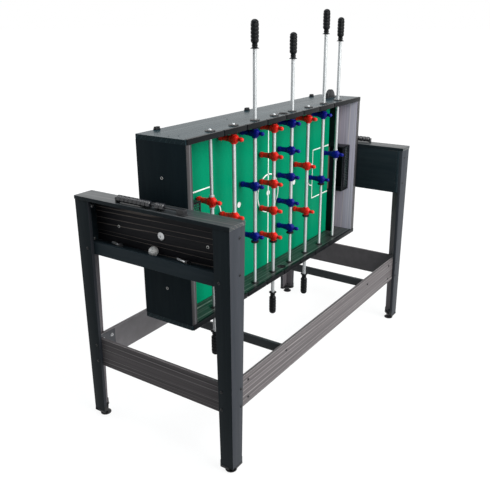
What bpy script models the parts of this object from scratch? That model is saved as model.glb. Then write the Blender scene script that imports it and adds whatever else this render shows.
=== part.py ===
# A swivel game table: a foosball and hockey cabinet that turns over between two leg frames.
# Units are metres, +Z is up, X runs along the table and the foosball side faces -Y at rest.

import bpy
import bmesh
from math import atan2, cos, pi, sin
from mathutils import Matrix, Vector

# Overall sizes of the standing frame
TABLE_LENGTH = 1.340
TABLE_WIDTH = 0.605
TABLE_HEIGHT = 0.8153
FRAME_BOARD = 0.012
BOARD_CHAMFER = 0.0012
SEAT_GAP = 0.0003
OVERRUN = 0.004
JOINT_DEPTH = 0.001

# Legs: two mitred boards each, narrower at the foot, standing in moulded shoes
LEG_FRONT_TOP = 0.058
LEG_FRONT_FOOT = 0.047
LEG_SIDE_TOP = 0.0755
LEG_SIDE_FOOT = 0.050
SHOE_THICKNESS = 0.008
SHOE_LIP = 0.0006
SHOE_TAB_HEIGHT = 0.020
SHOE_TAB_THICKNESS = 0.004

# Levelling feet
FOOT_CLEARANCE = 0.016
FOOT_DISC_RADIUS = 0.019
FOOT_DISC_CHAMFER = 0.0015
FOOT_DISC_THICKNESS = 0.008
FOOT_HUB_RADIUS = 0.009
FOOT_STEM_RADIUS = 0.004
FOOT_STEM_LENGTH = 0.026
FOOT_INSET = 0.025
STEM_CLEARANCE = 0.0005

# End frames: top board, apron panel and ball tray
TOP_OVERHANG = 0.0015
TOP_DEPTH = 0.0770
APRON_DEPTH = 0.183
TRAY_RAIL_HEIGHT = 0.043
TRAY_RAIL_RISE = 0.002
TRAY_LIP = 0.0115

# Stretchers, braces and corner angles
STRETCHER_TOP_SHARE = 0.3802
STRETCHER_HEIGHT = 0.103
BRACE_OFFSET_SHARE = 0.4985
BRACE_HEIGHT = 0.032
BRACE_DROP = 0.010
ANGLE_LENGTH = 0.075
ANGLE_RETURN = 0.040
ANGLE_HEIGHT = 0.095
ANGLE_RISE = 0.035
ANGLE_THICKNESS = 0.002
ANGLE_SCREW_INSETS = (0.0325, 0.0715)

# Screws
SCREW_RADIUS = 0.0048
SCREW_HEAD = 0.0025
STRETCHER_SCREW_SHARES = (0.20, 0.80)
APRON_SCREW_SHARES = (0.17, 0.78)
LEG_SCREW_INSET = 0.048
FRONT_SCREW_INSET = 0.039
STRETCHER_SCREW_INSET = 0.105

# Turning cabinet
PIVOT_DROP = 0.1003
CABINET_END_GAP = 0.004
CABINET_HEIGHT = 0.605
CABINET_DEPTH = 0.195
RAIL_BOARD = 0.015
END_WALL = 0.025
FIELD_FACE = 0.005
FIELD_BOARD = 0.009
HOCKEY_RECESS = 0.0385
HOCKEY_BOARD = 0.009
SERVE_RADIUS = 0.018
SERVE_COLLAR = 0.0015
SERVE_RIM = 0.003

# Goals: a moulded hood with a lattice roof between two kick strips
GOAL_DEPTH = 0.0687
GOAL_HALF_WIDTH = 0.098
GOAL_ROOF = 0.072
GOAL_WALL = 0.003
LATTICE_ROWS = 3
LATTICE_COLUMNS = 7
LATTICE_BAR = 0.0045
KICK_LEAD = 0.0048
KICK_THICKNESS = 0.012
KICK_HEIGHT = 0.030

# Pivots, lock bushes and lock pins
PIVOT_RADIUS = 0.006
PIVOT_CLEARANCE = 0.0005
PIVOT_DEPTH = 0.018
PIVOT_HEAD_RADIUS = 0.0135
PIVOT_HEAD = 0.004
SPACER_RADIUS = 0.016
LOCK_OFFSET = 0.179
LOCK_BORE = 0.0046
LOCK_RIM_RADIUS = 0.0085
LOCK_RIM = 0.0015
LOCK_SOCKET_DEPTH = 0.016
PIN_RADIUS = 0.0040
PIN_LENGTH = 0.068
PIN_KNOB_RADIUS = 0.009
PIN_KNOB_LENGTH = 0.010
PIN_TURN = 0.36
PIN_SHARES = (("left", 0.633), ("right", -0.349))
BALL_RADIUS = 0.0155
BALL_INSET = 0.0182
BALL_SHIFT = 0.016

# Rods: an inner rod turning in the far rail and an outer rod sliding on it
GOALIE_CLEARANCE = 0.00305
ROD_DEPTH = 0.0675
TUBE_RADIUS = 0.0067
TUBE_BORE = 0.0059
INNER_ROD_RADIUS = 0.0055
INNER_ROD_OVERLAP = 0.060
END_CAP_LENGTH = 0.0085
END_CAP_CHAMFER = 0.0025
BUSH_BORE = 0.0072
BUSH_RIM_RADIUS = 0.0165
BUSH_RIM = 0.004
BUSH_SEAT_RADIUS = 0.0135
BUSH_SEAT = 0.0045
STOP_GAP = 0.0005

# Players and the bumpers beside them
PLAYER_HALF = 0.0165
PLAYER_REACH = 0.058
PLAYER_DEPTH = 0.0110
BUMPER_RADIUS = 0.0145
BUMPER_HEIGHT = 0.0065

# Handles
HANDLE_RIM_RADIUS = 0.0145
HANDLE_RIM = 0.003
HANDLE_NECK_RADIUS = 0.0090
HANDLE_NECK = 0.017
HANDLE_GRIP_RADIUS = 0.0135
HANDLE_GRIP = 0.071
HANDLE_ROUND = 0.006
HANDLE_SOCKET = 0.060

# Scorers on the end boards
SCORER_START = 0.1260
SCORER_LENGTH = 0.236
SCORER_EDGE = 0.0185
SCORER_ROD_RADIUS = 0.0030
SCORER_AXIS_HEIGHT = 0.0130
SCORER_PLATE = 0.005
SCORER_FOOT = 0.028
SCORER_POST_WIDTH = 0.016
SCORER_POST_HEIGHT = 0.018
BEAD_RADIUS = 0.0110
BEAD_PITCH = 0.0167
BEAD_BORE = 0.0037
BEAD_GROOVE = 0.0014
HOME_BEAD_COUNT = 8
MOVED_BEAD_COUNT = 2
BEAD_SPACE = 0.0195

# Swing grip and edge clips on the rails
CLIP_WIDTH = 0.024
CLIP_REACH = 0.016
CLIP_THICKNESS = 0.008
CLIP_PLACE_SHARES = (-0.847, 0, 0.847)
GRIP_LENGTH = 0.048
GRIP_RISE = 0.033
GRIP_THICKNESS = 0.016
GRIP_PLACE_SHARE = 0.847
GRIP_SHIFT = 0.005

# Facets round a turned shape
ROD_SIDES = 10
SMALL_SIDES = 8
SCREW_SIDES = 6

# Rods from the near end: team, number of players, their spacing, and the handle's distance outside
# the rail while the rod is pushed right in
RODS = (
    ("red", 1, 0.0, 0.0055),
    ("red", 2, 0.263, 0.0060),
    ("blue", 3, 0.184, 0.0795),
    ("red", 5, 0.101, 0.0700),
    ("blue", 5, 0.101, 0.0700),
    ("red", 3, 0.184, 0.0795),
    ("blue", 2, 0.263, 0.0060),
    ("blue", 1, 0.0, 0.0055),
)
GOALIE_TRAVEL = 0.148
GOALIE_REST = 0.0785

# Player sections from toe to head: shares of the reach, the half width and the half depth
PLAYER_SHARES = (
    (1.00, 0.48, 0.60),
    (0.84, 0.52, 0.68),
    (0.68, 0.42, 0.55),
    (0.18, 0.80, 0.88),
    (-0.06, 1.00, 1.00),
    (-0.20, 0.50, 0.56),
    (-0.33, 0.46, 0.66),
    (-0.43, 0.24, 0.40),
)
HANDLE_TIP_SHARE = 0.6

# Places that follow from the sizes above
HALF_LENGTH = TABLE_LENGTH / 2
HALF_WIDTH = TABLE_WIDTH / 2
LEG_TOP = TABLE_HEIGHT - FRAME_BOARD - SEAT_GAP
PIVOT_HEIGHT = TABLE_HEIGHT - PIVOT_DROP
STRETCHER_TOP = STRETCHER_TOP_SHARE * TABLE_HEIGHT
BRACE_OFFSET = BRACE_OFFSET_SHARE * HALF_LENGTH
SHOE_TOP = FOOT_CLEARANCE + SHOE_THICKNESS
TOP_OUTER = HALF_LENGTH + TOP_OVERHANG
TOP_INNER = TOP_OUTER - TOP_DEPTH
APRON_BOTTOM = LEG_TOP - APRON_DEPTH
APRON_INNER = TOP_INNER
APRON_OUTER = APRON_INNER + FRAME_BOARD
CROSS_OUTER = HALF_LENGTH - FRAME_BOARD - SEAT_GAP
CROSS_INNER = CROSS_OUTER - FRAME_BOARD
SIDE_OUTER = HALF_WIDTH - FRAME_BOARD - SEAT_GAP
SIDE_INNER = SIDE_OUTER - FRAME_BOARD
TRAY_RAIL_BOTTOM = APRON_BOTTOM + TRAY_RAIL_RISE
TRAY_RAIL_TOP = TRAY_RAIL_BOTTOM + TRAY_RAIL_HEIGHT
TRAY_FLOOR = TRAY_RAIL_TOP - TRAY_LIP
HALF_CABINET = APRON_INNER - CABINET_END_GAP
HALF_HEIGHT = CABINET_HEIGHT / 2
HALF_DEPTH = CABINET_DEPTH / 2
RAIL_INNER = HALF_HEIGHT - RAIL_BOARD
WALL_INNER = HALF_CABINET - END_WALL
FIELD_HALF_LENGTH = WALL_INNER - SEAT_GAP
FIELD_HALF_WIDTH = RAIL_INNER - SEAT_GAP
HOCKEY_FACE = HALF_DEPTH - HOCKEY_RECESS
GOAL_FLOOR = FIELD_FACE + SEAT_GAP
GOAL_MOUTH = WALL_INNER - GOAL_DEPTH
KICK_START = GOAL_MOUTH - KICK_LEAD
GOALIE_ROD = GOAL_MOUTH - PLAYER_REACH - GOALIE_CLEARANCE
ROD_SPACING = 2 * GOALIE_ROD / (len(RODS) - 1)
PLAYER_LIMIT = RAIL_INNER - BUSH_SEAT - STOP_GAP - BUMPER_HEIGHT - PLAYER_HALF
SCORER_X = TOP_OUTER - SCORER_EDGE
SCORER_Z = TABLE_HEIGHT + SCORER_AXIS_HEIGHT

COLOURS = {
    "black_laminate": ((0.010, 0.019, 0.024), 0.45, 0.0),
    "grain_laminate": ((0.060, 0.055, 0.060), 0.50, 0.0),
    "top_laminate": ((0.095, 0.120, 0.140), 0.50, 0.0),
    "green_field": ((0.004, 0.330, 0.150), 0.40, 0.0),
    "white_field": ((0.800, 0.810, 0.800), 0.25, 0.0),
    "steel": ((0.700, 0.720, 0.740), 0.25, 0.9),
    "black_plastic": ((0.010, 0.010, 0.012), 0.45, 0.0),
    "black_rubber": ((0.014, 0.014, 0.016), 0.60, 0.0),
    "red_plastic": ((0.700, 0.035, 0.015), 0.30, 0.0),
    "blue_plastic": ((0.008, 0.012, 0.230), 0.30, 0.0),
    "white_plastic": ((0.800, 0.800, 0.780), 0.35, 0.0),
}
ENDS = (("near", -1), ("far", 1))
SIDES = (("right", -1), ("left", 1))


def clear_scene():
    for obj in list(bpy.data.objects):
        bpy.data.objects.remove(obj, do_unlink=True)


def material(name):
    found = bpy.data.materials.get(name)
    if found:
        return found
    colour, roughness, metallic = COLOURS[name]
    made = bpy.data.materials.new(name)
    made.use_nodes = True
    shader = made.node_tree.nodes["Principled BSDF"]
    shader.inputs["Base Color"].default_value = (*colour, 1.0)
    shader.inputs["Roughness"].default_value = roughness
    shader.inputs["Metallic"].default_value = metallic
    return made


def new_object(name, bm, finish, location=(0, 0, 0)):
    """Makes an object from a bmesh in world places, its origin at the given location."""
    bmesh.ops.translate(bm, verts=bm.verts, vec=-Vector(location))
    mesh = bpy.data.meshes.new(name)
    bm.to_mesh(mesh)
    bm.free()
    mesh.materials.append(material(finish))
    obj = bpy.data.objects.new(name, mesh)
    obj.location = location
    bpy.context.scene.collection.objects.link(obj)
    return obj


def combine(obj, bm, operation):
    """Joins a bmesh in world places to an object, or cuts it out, and keeps the result."""
    bmesh.ops.translate(bm, verts=bm.verts, vec=-obj.location)
    mesh = bpy.data.meshes.new("tool")
    bm.to_mesh(mesh)
    bm.free()
    tool = bpy.data.objects.new("tool", mesh)
    tool.location = obj.location
    bpy.context.scene.collection.objects.link(tool)
    modifier = obj.modifiers.new("combine", "BOOLEAN")
    modifier.operation = operation
    modifier.solver = "EXACT"
    modifier.use_self = True
    modifier.object = tool
    graph = bpy.context.evaluated_depsgraph_get()
    result = bpy.data.meshes.new_from_object(obj.evaluated_get(graph))
    obj.modifiers.clear()
    plain = obj.data
    obj.data = result
    bpy.data.objects.remove(tool, do_unlink=True)
    bpy.data.meshes.remove(mesh)
    bpy.data.meshes.remove(plain)


def shade(obj):
    """Shades the round faces smooth and keeps the real edges sharp."""
    obj.data.shade_smooth()
    obj.data.set_sharp_from_angle(angle=pi / 5)


def add_box(bm, low, high, chamfer=0.0):
    """A box between two corners given in any order, its edges chamfered if asked."""
    size = [abs(b - a) for a, b in zip(low, high)]
    middle = Vector([(a + b) / 2 for a, b in zip(low, high)])
    matrix = Matrix.Translation(middle) @ Matrix.Diagonal((*size, 1.0))
    made = bmesh.ops.create_cube(bm, size=1.0, matrix=matrix)
    if chamfer:
        edges = list({edge for vert in made["verts"] for edge in vert.link_edges})
        bmesh.ops.bevel(bm, geom=edges, offset=chamfer, segments=1, affect="EDGES", profile=0.5)


def add_loft(bm, rings, closed=False):
    """Skins rings of equal length; the ends are capped unless the rings close on themselves."""
    loops = [[bm.verts.new(point) for point in ring] for ring in rings]
    pairs = list(zip(loops, loops[1:]))
    if closed:
        pairs.append((loops[-1], loops[0]))
    faces = []
    count = len(loops[0])
    for one, two in pairs:
        for i in range(count):
            j = (i + 1) % count
            faces.append(bm.faces.new((one[i], one[j], two[j], two[i])))
    if not closed:
        faces.append(bm.faces.new(list(reversed(loops[0]))))
        faces.append(bm.faces.new(loops[-1]))
    bmesh.ops.recalc_face_normals(bm, faces=faces)


def add_turned(bm, profile, place, axis="Z", sides=ROD_SIDES, sign=1, ring=False):
    """Turns (radius, height) points round an axis through a place, as a solid or as a ring."""
    turn = {
        "Z": Matrix.Identity(4),
        "X": Matrix.Rotation(pi / 2, 4, "Y"),
        "Y": Matrix.Rotation(-pi / 2, 4, "X"),
    }[axis]
    move = Matrix.Translation(Vector(place)) @ turn @ Matrix.Diagonal((1, 1, sign, 1))
    angles = [2 * pi * i / sides for i in range(sides)]
    rings = []
    for radius, height in profile:
        rings.append([move @ Vector((radius * cos(a), radius * sin(a), height)) for a in angles])
    add_loft(bm, rings, closed=ring)


def add_screw(bm, place, axis, sign):
    """A hexagon head, let a little into the face that it stands on."""
    add_turned(bm, ((SCREW_RADIUS, -JOINT_DEPTH), (SCREW_RADIUS, SCREW_HEAD)), place, axis, SCREW_SIDES, sign)


def stretcher_screw_heights():
    return [STRETCHER_TOP - share * STRETCHER_HEIGHT for share in STRETCHER_SCREW_SHARES]


def apron_screw_heights():
    return [LEG_TOP - share * APRON_DEPTH for share in APRON_SCREW_SHARES]


def leg_outline(front, depth, side_x, side_y):
    """The L of a leg's two boards seen from above, its corner at the table's outer corner."""
    points = (
        (HALF_LENGTH, HALF_WIDTH),
        (HALF_LENGTH - depth, HALF_WIDTH),
        (HALF_LENGTH - depth, HALF_WIDTH - FRAME_BOARD),
        (HALF_LENGTH - FRAME_BOARD, HALF_WIDTH - FRAME_BOARD),
        (HALF_LENGTH - FRAME_BOARD, HALF_WIDTH - front),
        (HALF_LENGTH, HALF_WIDTH - front),
    )
    return [(side_x * x, side_y * y) for x, y in points]


def foot_place(side_x, side_y):
    return (HALF_LENGTH - FOOT_INSET) * side_x, (HALF_WIDTH - FOOT_INSET) * side_y


def make_leg(name, side_x, side_y):
    """Two mitred boards, the shoe under them and the screw heads on their outer faces."""
    bm = bmesh.new()
    sections = (
        (SHOE_TOP - JOINT_DEPTH, LEG_FRONT_FOOT, LEG_SIDE_FOOT),
        (LEG_TOP, LEG_FRONT_TOP, LEG_SIDE_TOP),
    )
    rings = []
    for height, front, depth in sections:
        rings.append([(x, y, height) for x, y in leg_outline(front, depth, side_x, side_y)])
    add_loft(bm, rings)
    leg = new_object(name, bm, "black_laminate")
    extra = bmesh.new()
    inner = (side_x * (HALF_LENGTH - LEG_SIDE_FOOT), side_y * (HALF_WIDTH - LEG_FRONT_FOOT))
    outer = (side_x * (HALF_LENGTH + SHOE_LIP), side_y * (HALF_WIDTH + SHOE_LIP), SHOE_TOP)
    add_box(extra, (*inner, FOOT_CLEARANCE), outer)
    tab_end = (inner[0] + side_x * SHOE_TAB_THICKNESS, side_y * (HALF_WIDTH - FRAME_BOARD + JOINT_DEPTH))
    add_box(extra, (*inner, SHOE_TOP - JOINT_DEPTH), (*tab_end, SHOE_TOP + SHOE_TAB_HEIGHT))
    for height in stretcher_screw_heights() + apron_screw_heights():
        place = (side_x * (HALF_LENGTH - LEG_SCREW_INSET), side_y * HALF_WIDTH, height)
        add_screw(extra, place, "Y", side_y)
    tray_height = (TRAY_RAIL_BOTTOM + TRAY_RAIL_TOP) / 2
    for height in stretcher_screw_heights() + [tray_height]:
        place = (side_x * HALF_LENGTH, side_y * (HALF_WIDTH - FRONT_SCREW_INSET), height)
        add_screw(extra, place, "X", side_x)
    combine(leg, extra, "UNION")
    hole = bmesh.new()
    radius = FOOT_STEM_RADIUS + STEM_CLEARANCE
    stem = ((radius, FOOT_CLEARANCE - OVERRUN), (radius, SHOE_TOP + OVERRUN))
    add_turned(hole, stem, (*foot_place(side_x, side_y), 0))
    combine(leg, hole, "DIFFERENCE")
    shade(leg)


def make_levelling_foot(name, side_x, side_y):
    """A turned glide on a threaded stem, screwed fully in at rest."""
    profile = (
        (FOOT_DISC_RADIUS - FOOT_DISC_CHAMFER, 0),
        (FOOT_DISC_RADIUS, FOOT_DISC_CHAMFER),
        (FOOT_DISC_RADIUS, FOOT_DISC_THICKNESS / 2),
        (FOOT_HUB_RADIUS, FOOT_DISC_THICKNESS),
        (FOOT_HUB_RADIUS, FOOT_CLEARANCE - SEAT_GAP),
        (FOOT_STEM_RADIUS, FOOT_CLEARANCE - SEAT_GAP),
        (FOOT_STEM_RADIUS, FOOT_CLEARANCE + FOOT_STEM_LENGTH),
    )
    place = (*foot_place(side_x, side_y), 0)
    bm = bmesh.new()
    add_turned(bm, profile, place)
    shade(new_object(name, bm, "black_plastic", place))


def make_legs():
    for end, side_x in ENDS:
        for side, side_y in SIDES:
            make_leg(f"leg_{end}_{side}", side_x, side_y)
            make_levelling_foot(f"foot_{end}_{side}", side_x, side_y)


def make_top_board(end, side_x):
    """An end board with its scorer: a wire rod between a thin plate and a longer foot."""
    bm = bmesh.new()
    low = (side_x * TOP_INNER, -HALF_WIDTH - TOP_OVERHANG, TABLE_HEIGHT - FRAME_BOARD)
    high = (side_x * TOP_OUTER, HALF_WIDTH + TOP_OVERHANG, TABLE_HEIGHT)
    add_box(bm, low, high, BOARD_CHAMFER)
    board = new_object(f"top_board_{end}", bm, "top_laminate")
    turn = -side_x
    start, finish = turn * SCORER_START, turn * (SCORER_START - SCORER_LENGTH)
    posts = (
        (start, start + turn * SCORER_PLATE, BEAD_RADIUS),
        (finish, finish - turn * SCORER_FOOT, SCORER_POST_WIDTH),
    )
    scorer = bmesh.new()
    for inner, outer, width in posts:
        low = (side_x * SCORER_X - width / 2, inner, TABLE_HEIGHT - JOINT_DEPTH)
        high = (side_x * SCORER_X + width / 2, outer, TABLE_HEIGHT + SCORER_POST_HEIGHT)
        add_box(scorer, low, high)
    wire = ((SCORER_ROD_RADIUS, -JOINT_DEPTH), (SCORER_ROD_RADIUS, SCORER_LENGTH + JOINT_DEPTH))
    add_turned(scorer, wire, (side_x * SCORER_X, start, SCORER_Z), "Y", SMALL_SIDES, -turn)
    combine(board, scorer, "UNION")


def make_bead_group(name, side_x, start, count):
    """Counting beads that lie against each other, so that they read as one ribbed roll."""
    place = (side_x * SCORER_X, side_x * -start, SCORER_Z)
    profile = [(BEAD_BORE, 0)]
    for number in range(count):
        profile.append((BEAD_RADIUS - BEAD_GROOVE, number * BEAD_PITCH))
        profile.append((BEAD_RADIUS, (number + 1 / 2) * BEAD_PITCH))
    profile.append((BEAD_RADIUS - BEAD_GROOVE, count * BEAD_PITCH))
    profile.append((BEAD_BORE, count * BEAD_PITCH))
    bm = bmesh.new()
    add_turned(bm, profile, place, "Y", SMALL_SIDES, side_x, ring=True)
    shade(new_object(name, bm, "black_plastic", place))


def make_scorer_beads():
    """Near the players eight beads are home and two moved over; at the far end all are home."""
    start = SCORER_START - STOP_GAP
    moved = start - HOME_BEAD_COUNT * BEAD_PITCH - BEAD_SPACE
    make_bead_group("score_beads_near", -1, start, HOME_BEAD_COUNT)
    make_bead_group("score_pair_near", -1, moved, MOVED_BEAD_COUNT)
    make_bead_group("score_beads_far", 1, start, HOME_BEAD_COUNT + MOVED_BEAD_COUNT)


def make_apron(end, side_x):
    """The upright panel that carries a pivot bolt and two lock bushes."""
    bm = bmesh.new()
    half = SIDE_INNER - SEAT_GAP
    add_box(bm, (side_x * APRON_INNER, -half, APRON_BOTTOM), (side_x * APRON_OUTER, half, LEG_TOP))
    apron = new_object(f"apron_{end}", bm, "grain_laminate")
    rims = bmesh.new()
    holes = bmesh.new()
    rim = ((LOCK_RIM_RADIUS, -JOINT_DEPTH), (LOCK_RIM_RADIUS, LOCK_RIM))
    depth = FRAME_BOARD + OVERRUN
    for offset in (-LOCK_OFFSET, LOCK_OFFSET):
        place = (side_x * APRON_OUTER, offset, PIVOT_HEIGHT)
        add_turned(rims, rim, place, "X", sign=side_x)
        add_turned(holes, ((LOCK_BORE, -depth), (LOCK_BORE, OVERRUN)), place, "X", SMALL_SIDES, side_x)
    place = (side_x * APRON_OUTER, 0, PIVOT_HEIGHT)
    radius = PIVOT_RADIUS + SEAT_GAP
    add_turned(holes, ((radius, -depth), (radius, OVERRUN)), place, "X", sign=side_x)
    combine(apron, rims, "UNION")
    combine(apron, holes, "DIFFERENCE")
    shade(apron)


def make_pivot_bolt(end, side_x):
    """A stub axle through the apron into the cabinet's end wall, with its spacer collar."""
    profile = (
        (PIVOT_HEAD_RADIUS / 2, APRON_OUTER + PIVOT_HEAD),
        (PIVOT_HEAD_RADIUS, APRON_OUTER + PIVOT_HEAD / 2),
        (PIVOT_HEAD_RADIUS, APRON_OUTER + SEAT_GAP),
        (PIVOT_RADIUS, APRON_OUTER + SEAT_GAP),
        (PIVOT_RADIUS, APRON_INNER - SEAT_GAP),
        (SPACER_RADIUS, APRON_INNER - SEAT_GAP),
        (SPACER_RADIUS, HALF_CABINET + PIVOT_CLEARANCE),
        (PIVOT_RADIUS, HALF_CABINET + PIVOT_CLEARANCE),
        (PIVOT_RADIUS, HALF_CABINET - PIVOT_DEPTH),
    )
    bm = bmesh.new()
    add_turned(bm, profile, (0, 0, PIVOT_HEIGHT), "X", ROD_SIDES, side_x)
    shade(new_object(f"pivot_bolt_{end}", bm, "steel", (0, 0, PIVOT_HEIGHT)))


def make_tray(end, side_x):
    """A shallow ball tray: a front rail with a lip, a floor, and two cheeks with nuts inside."""
    bm = bmesh.new()
    low = (side_x * CROSS_INNER, -SIDE_OUTER, TRAY_RAIL_BOTTOM)
    add_box(bm, low, (side_x * CROSS_OUTER, SIDE_OUTER, TRAY_RAIL_TOP))
    tray = new_object(f"ball_tray_{end}", bm, "black_laminate")
    extra = bmesh.new()
    joint_x = side_x * (CROSS_INNER + JOINT_DEPTH)
    joint_y = SIDE_INNER + JOINT_DEPTH
    low = (side_x * (APRON_OUTER + SEAT_GAP), -joint_y, TRAY_FLOOR - FRAME_BOARD)
    add_box(extra, low, (joint_x, joint_y, TRAY_FLOOR))
    nut_x = side_x * (HALF_LENGTH - LEG_SCREW_INSET)
    for side_y in (-1, 1):
        low = (side_x * APRON_INNER, side_y * SIDE_INNER, APRON_BOTTOM)
        add_box(extra, low, (joint_x, side_y * SIDE_OUTER, LEG_TOP))
        for height in apron_screw_heights():
            if height > TRAY_FLOOR:
                add_screw(extra, (nut_x, side_y * SIDE_INNER, height), "Y", -side_y)
    combine(tray, extra, "UNION")


def make_end_stretcher(end, side_x):
    bm = bmesh.new()
    low = (side_x * CROSS_INNER, -SIDE_OUTER, STRETCHER_TOP - STRETCHER_HEIGHT)
    add_box(bm, low, (side_x * CROSS_OUTER, SIDE_OUTER, STRETCHER_TOP), BOARD_CHAMFER)
    new_object(f"end_stretcher_{end}", bm, "grain_laminate")


def make_side_stretcher(side, side_y):
    """A long lower board with its outer screws and a corner angle at each end inside."""
    bm = bmesh.new()
    half = CROSS_INNER - SEAT_GAP
    low = (-half, side_y * SIDE_INNER, STRETCHER_TOP - STRETCHER_HEIGHT)
    add_box(bm, low, (half, side_y * SIDE_OUTER, STRETCHER_TOP), BOARD_CHAMFER)
    board = new_object(f"side_stretcher_{side}", bm, "grain_laminate")
    extra = bmesh.new()
    angle_top = STRETCHER_TOP + ANGLE_RISE
    angle_bottom = angle_top - ANGLE_HEIGHT
    angle_middle = (angle_bottom + STRETCHER_TOP) / 2
    face = SIDE_INNER - ANGLE_THICKNESS
    for side_x in (-1, 1):
        low = (side_x * half, side_y * (SIDE_INNER + JOINT_DEPTH), angle_bottom)
        add_box(extra, low, (side_x * (half - ANGLE_LENGTH), side_y * face, angle_top))
        corner = (side_x * (half - ANGLE_THICKNESS), side_y * (SIDE_INNER - ANGLE_RETURN), angle_top)
        add_box(extra, low, corner)
        for inset in ANGLE_SCREW_INSETS:
            place = (side_x * (half + SEAT_GAP - inset), side_y * face, angle_middle)
            add_screw(extra, place, "Y", -side_y)
        for height in stretcher_screw_heights():
            place = (side_x * (HALF_LENGTH - STRETCHER_SCREW_INSET), side_y * SIDE_OUTER, height)
            add_screw(extra, place, "Y", side_y)
        brace = (side_x * BRACE_OFFSET, side_y * SIDE_OUTER, STRETCHER_TOP - BRACE_DROP - BRACE_HEIGHT / 2)
        add_screw(extra, brace, "Y", side_y)
    combine(board, extra, "UNION")


def make_cross_brace(end, side_x):
    bm = bmesh.new()
    half = SIDE_INNER - SEAT_GAP
    top = STRETCHER_TOP - BRACE_DROP
    low = (side_x * (BRACE_OFFSET - FRAME_BOARD / 2), -half, top - BRACE_HEIGHT)
    add_box(bm, low, (side_x * (BRACE_OFFSET + FRAME_BOARD / 2), half, top))
    new_object(f"cross_brace_{end}", bm, "black_laminate")


def make_lock_pin(side, place):
    """A steel lock pin with a turned knob, lying loose across the near tray."""
    profile = (
        (PIN_KNOB_RADIUS, 0),
        (PIN_KNOB_RADIUS, PIN_KNOB_LENGTH),
        (PIN_RADIUS, PIN_KNOB_LENGTH),
        (PIN_RADIUS, PIN_LENGTH - PIN_RADIUS),
        (PIN_RADIUS / 2, PIN_LENGTH),
    )
    shaft = PIN_LENGTH - PIN_RADIUS - PIN_KNOB_LENGTH
    tilt = atan2(PIN_KNOB_RADIUS - PIN_RADIUS, shaft)
    drop = (PIN_LENGTH / 2 - PIN_KNOB_LENGTH) * sin(tilt)
    height = TRAY_FLOOR + SEAT_GAP + PIN_KNOB_RADIUS * cos(tilt) - drop
    reach = PIN_LENGTH / 2 * sin(PIN_TURN) + PIN_KNOB_RADIUS * cos(PIN_TURN)
    middle = Vector((reach + STOP_GAP - CROSS_INNER, place, height))
    bm = bmesh.new()
    add_turned(bm, profile, (0, -PIN_LENGTH / 2, 0), "Y", SMALL_SIDES)
    turn = Matrix.Rotation(-PIN_TURN, 4, "Z") @ Matrix.Rotation(-tilt, 4, "X")
    bmesh.ops.transform(bm, matrix=Matrix.Translation(middle) @ turn, verts=bm.verts)
    shade(new_object(f"lock_pin_{side}", bm, "steel", middle))


def make_game_ball():
    centre = (BALL_INSET - CROSS_INNER, BALL_SHIFT, TRAY_FLOOR + SEAT_GAP + BALL_RADIUS)
    bm = bmesh.new()
    bmesh.ops.create_icosphere(bm, subdivisions=2, radius=BALL_RADIUS, matrix=Matrix.Translation(centre))
    shade(new_object("game_ball", bm, "white_plastic", centre))


def rod_x(number):
    return (number - (len(RODS) - 1) / 2) * ROD_SPACING


def add_bushings(rail, sign):
    """Solid flanged bearings with a seat inside the rail, one at each rod, to be bored afterwards."""
    middle = (RAIL_INNER + HALF_HEIGHT) / 2
    profile = (
        (BUSH_RIM_RADIUS, HALF_HEIGHT + BUSH_RIM),
        (BUSH_RIM_RADIUS, middle),
        (BUSH_SEAT_RADIUS, middle),
        (BUSH_SEAT_RADIUS, RAIL_INNER - BUSH_SEAT),
    )
    for number in range(len(RODS)):
        add_turned(rail, profile, (rod_x(number), -ROD_DEPTH, PIVOT_HEIGHT), "Z", ROD_SIDES, sign)


def add_clips(rail, sign):
    """Small moulded blocks on the rail's back edge."""
    base = PIVOT_HEIGHT + sign * (HALF_HEIGHT - JOINT_DEPTH)
    top = PIVOT_HEIGHT + sign * (HALF_HEIGHT + CLIP_THICKNESS)
    back = HALF_DEPTH - BOARD_CHAMFER
    for share in CLIP_PLACE_SHARES:
        place = share * HALF_CABINET
        low = (place - CLIP_WIDTH / 2, back - CLIP_REACH, base)
        add_box(rail, low, (place + CLIP_WIDTH / 2, back, top))


def add_swing_grip(rail):
    """A half-round grip on the upper rail that the cabinet is turned by."""
    base = PIVOT_HEIGHT + HALF_HEIGHT - JOINT_DEPTH
    middle = GRIP_PLACE_SHARE * HALF_CABINET
    rings = []
    for y in (GRIP_SHIFT - GRIP_THICKNESS / 2, GRIP_SHIFT + GRIP_THICKNESS / 2):
        ring = []
        for i in range(SMALL_SIDES + 1):
            angle = pi * i / SMALL_SIDES
            ring.append((middle + GRIP_LENGTH / 2 * cos(angle), y, base + GRIP_RISE * sin(angle)))
        rings.append(ring)
    add_loft(rail, rings)


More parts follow.
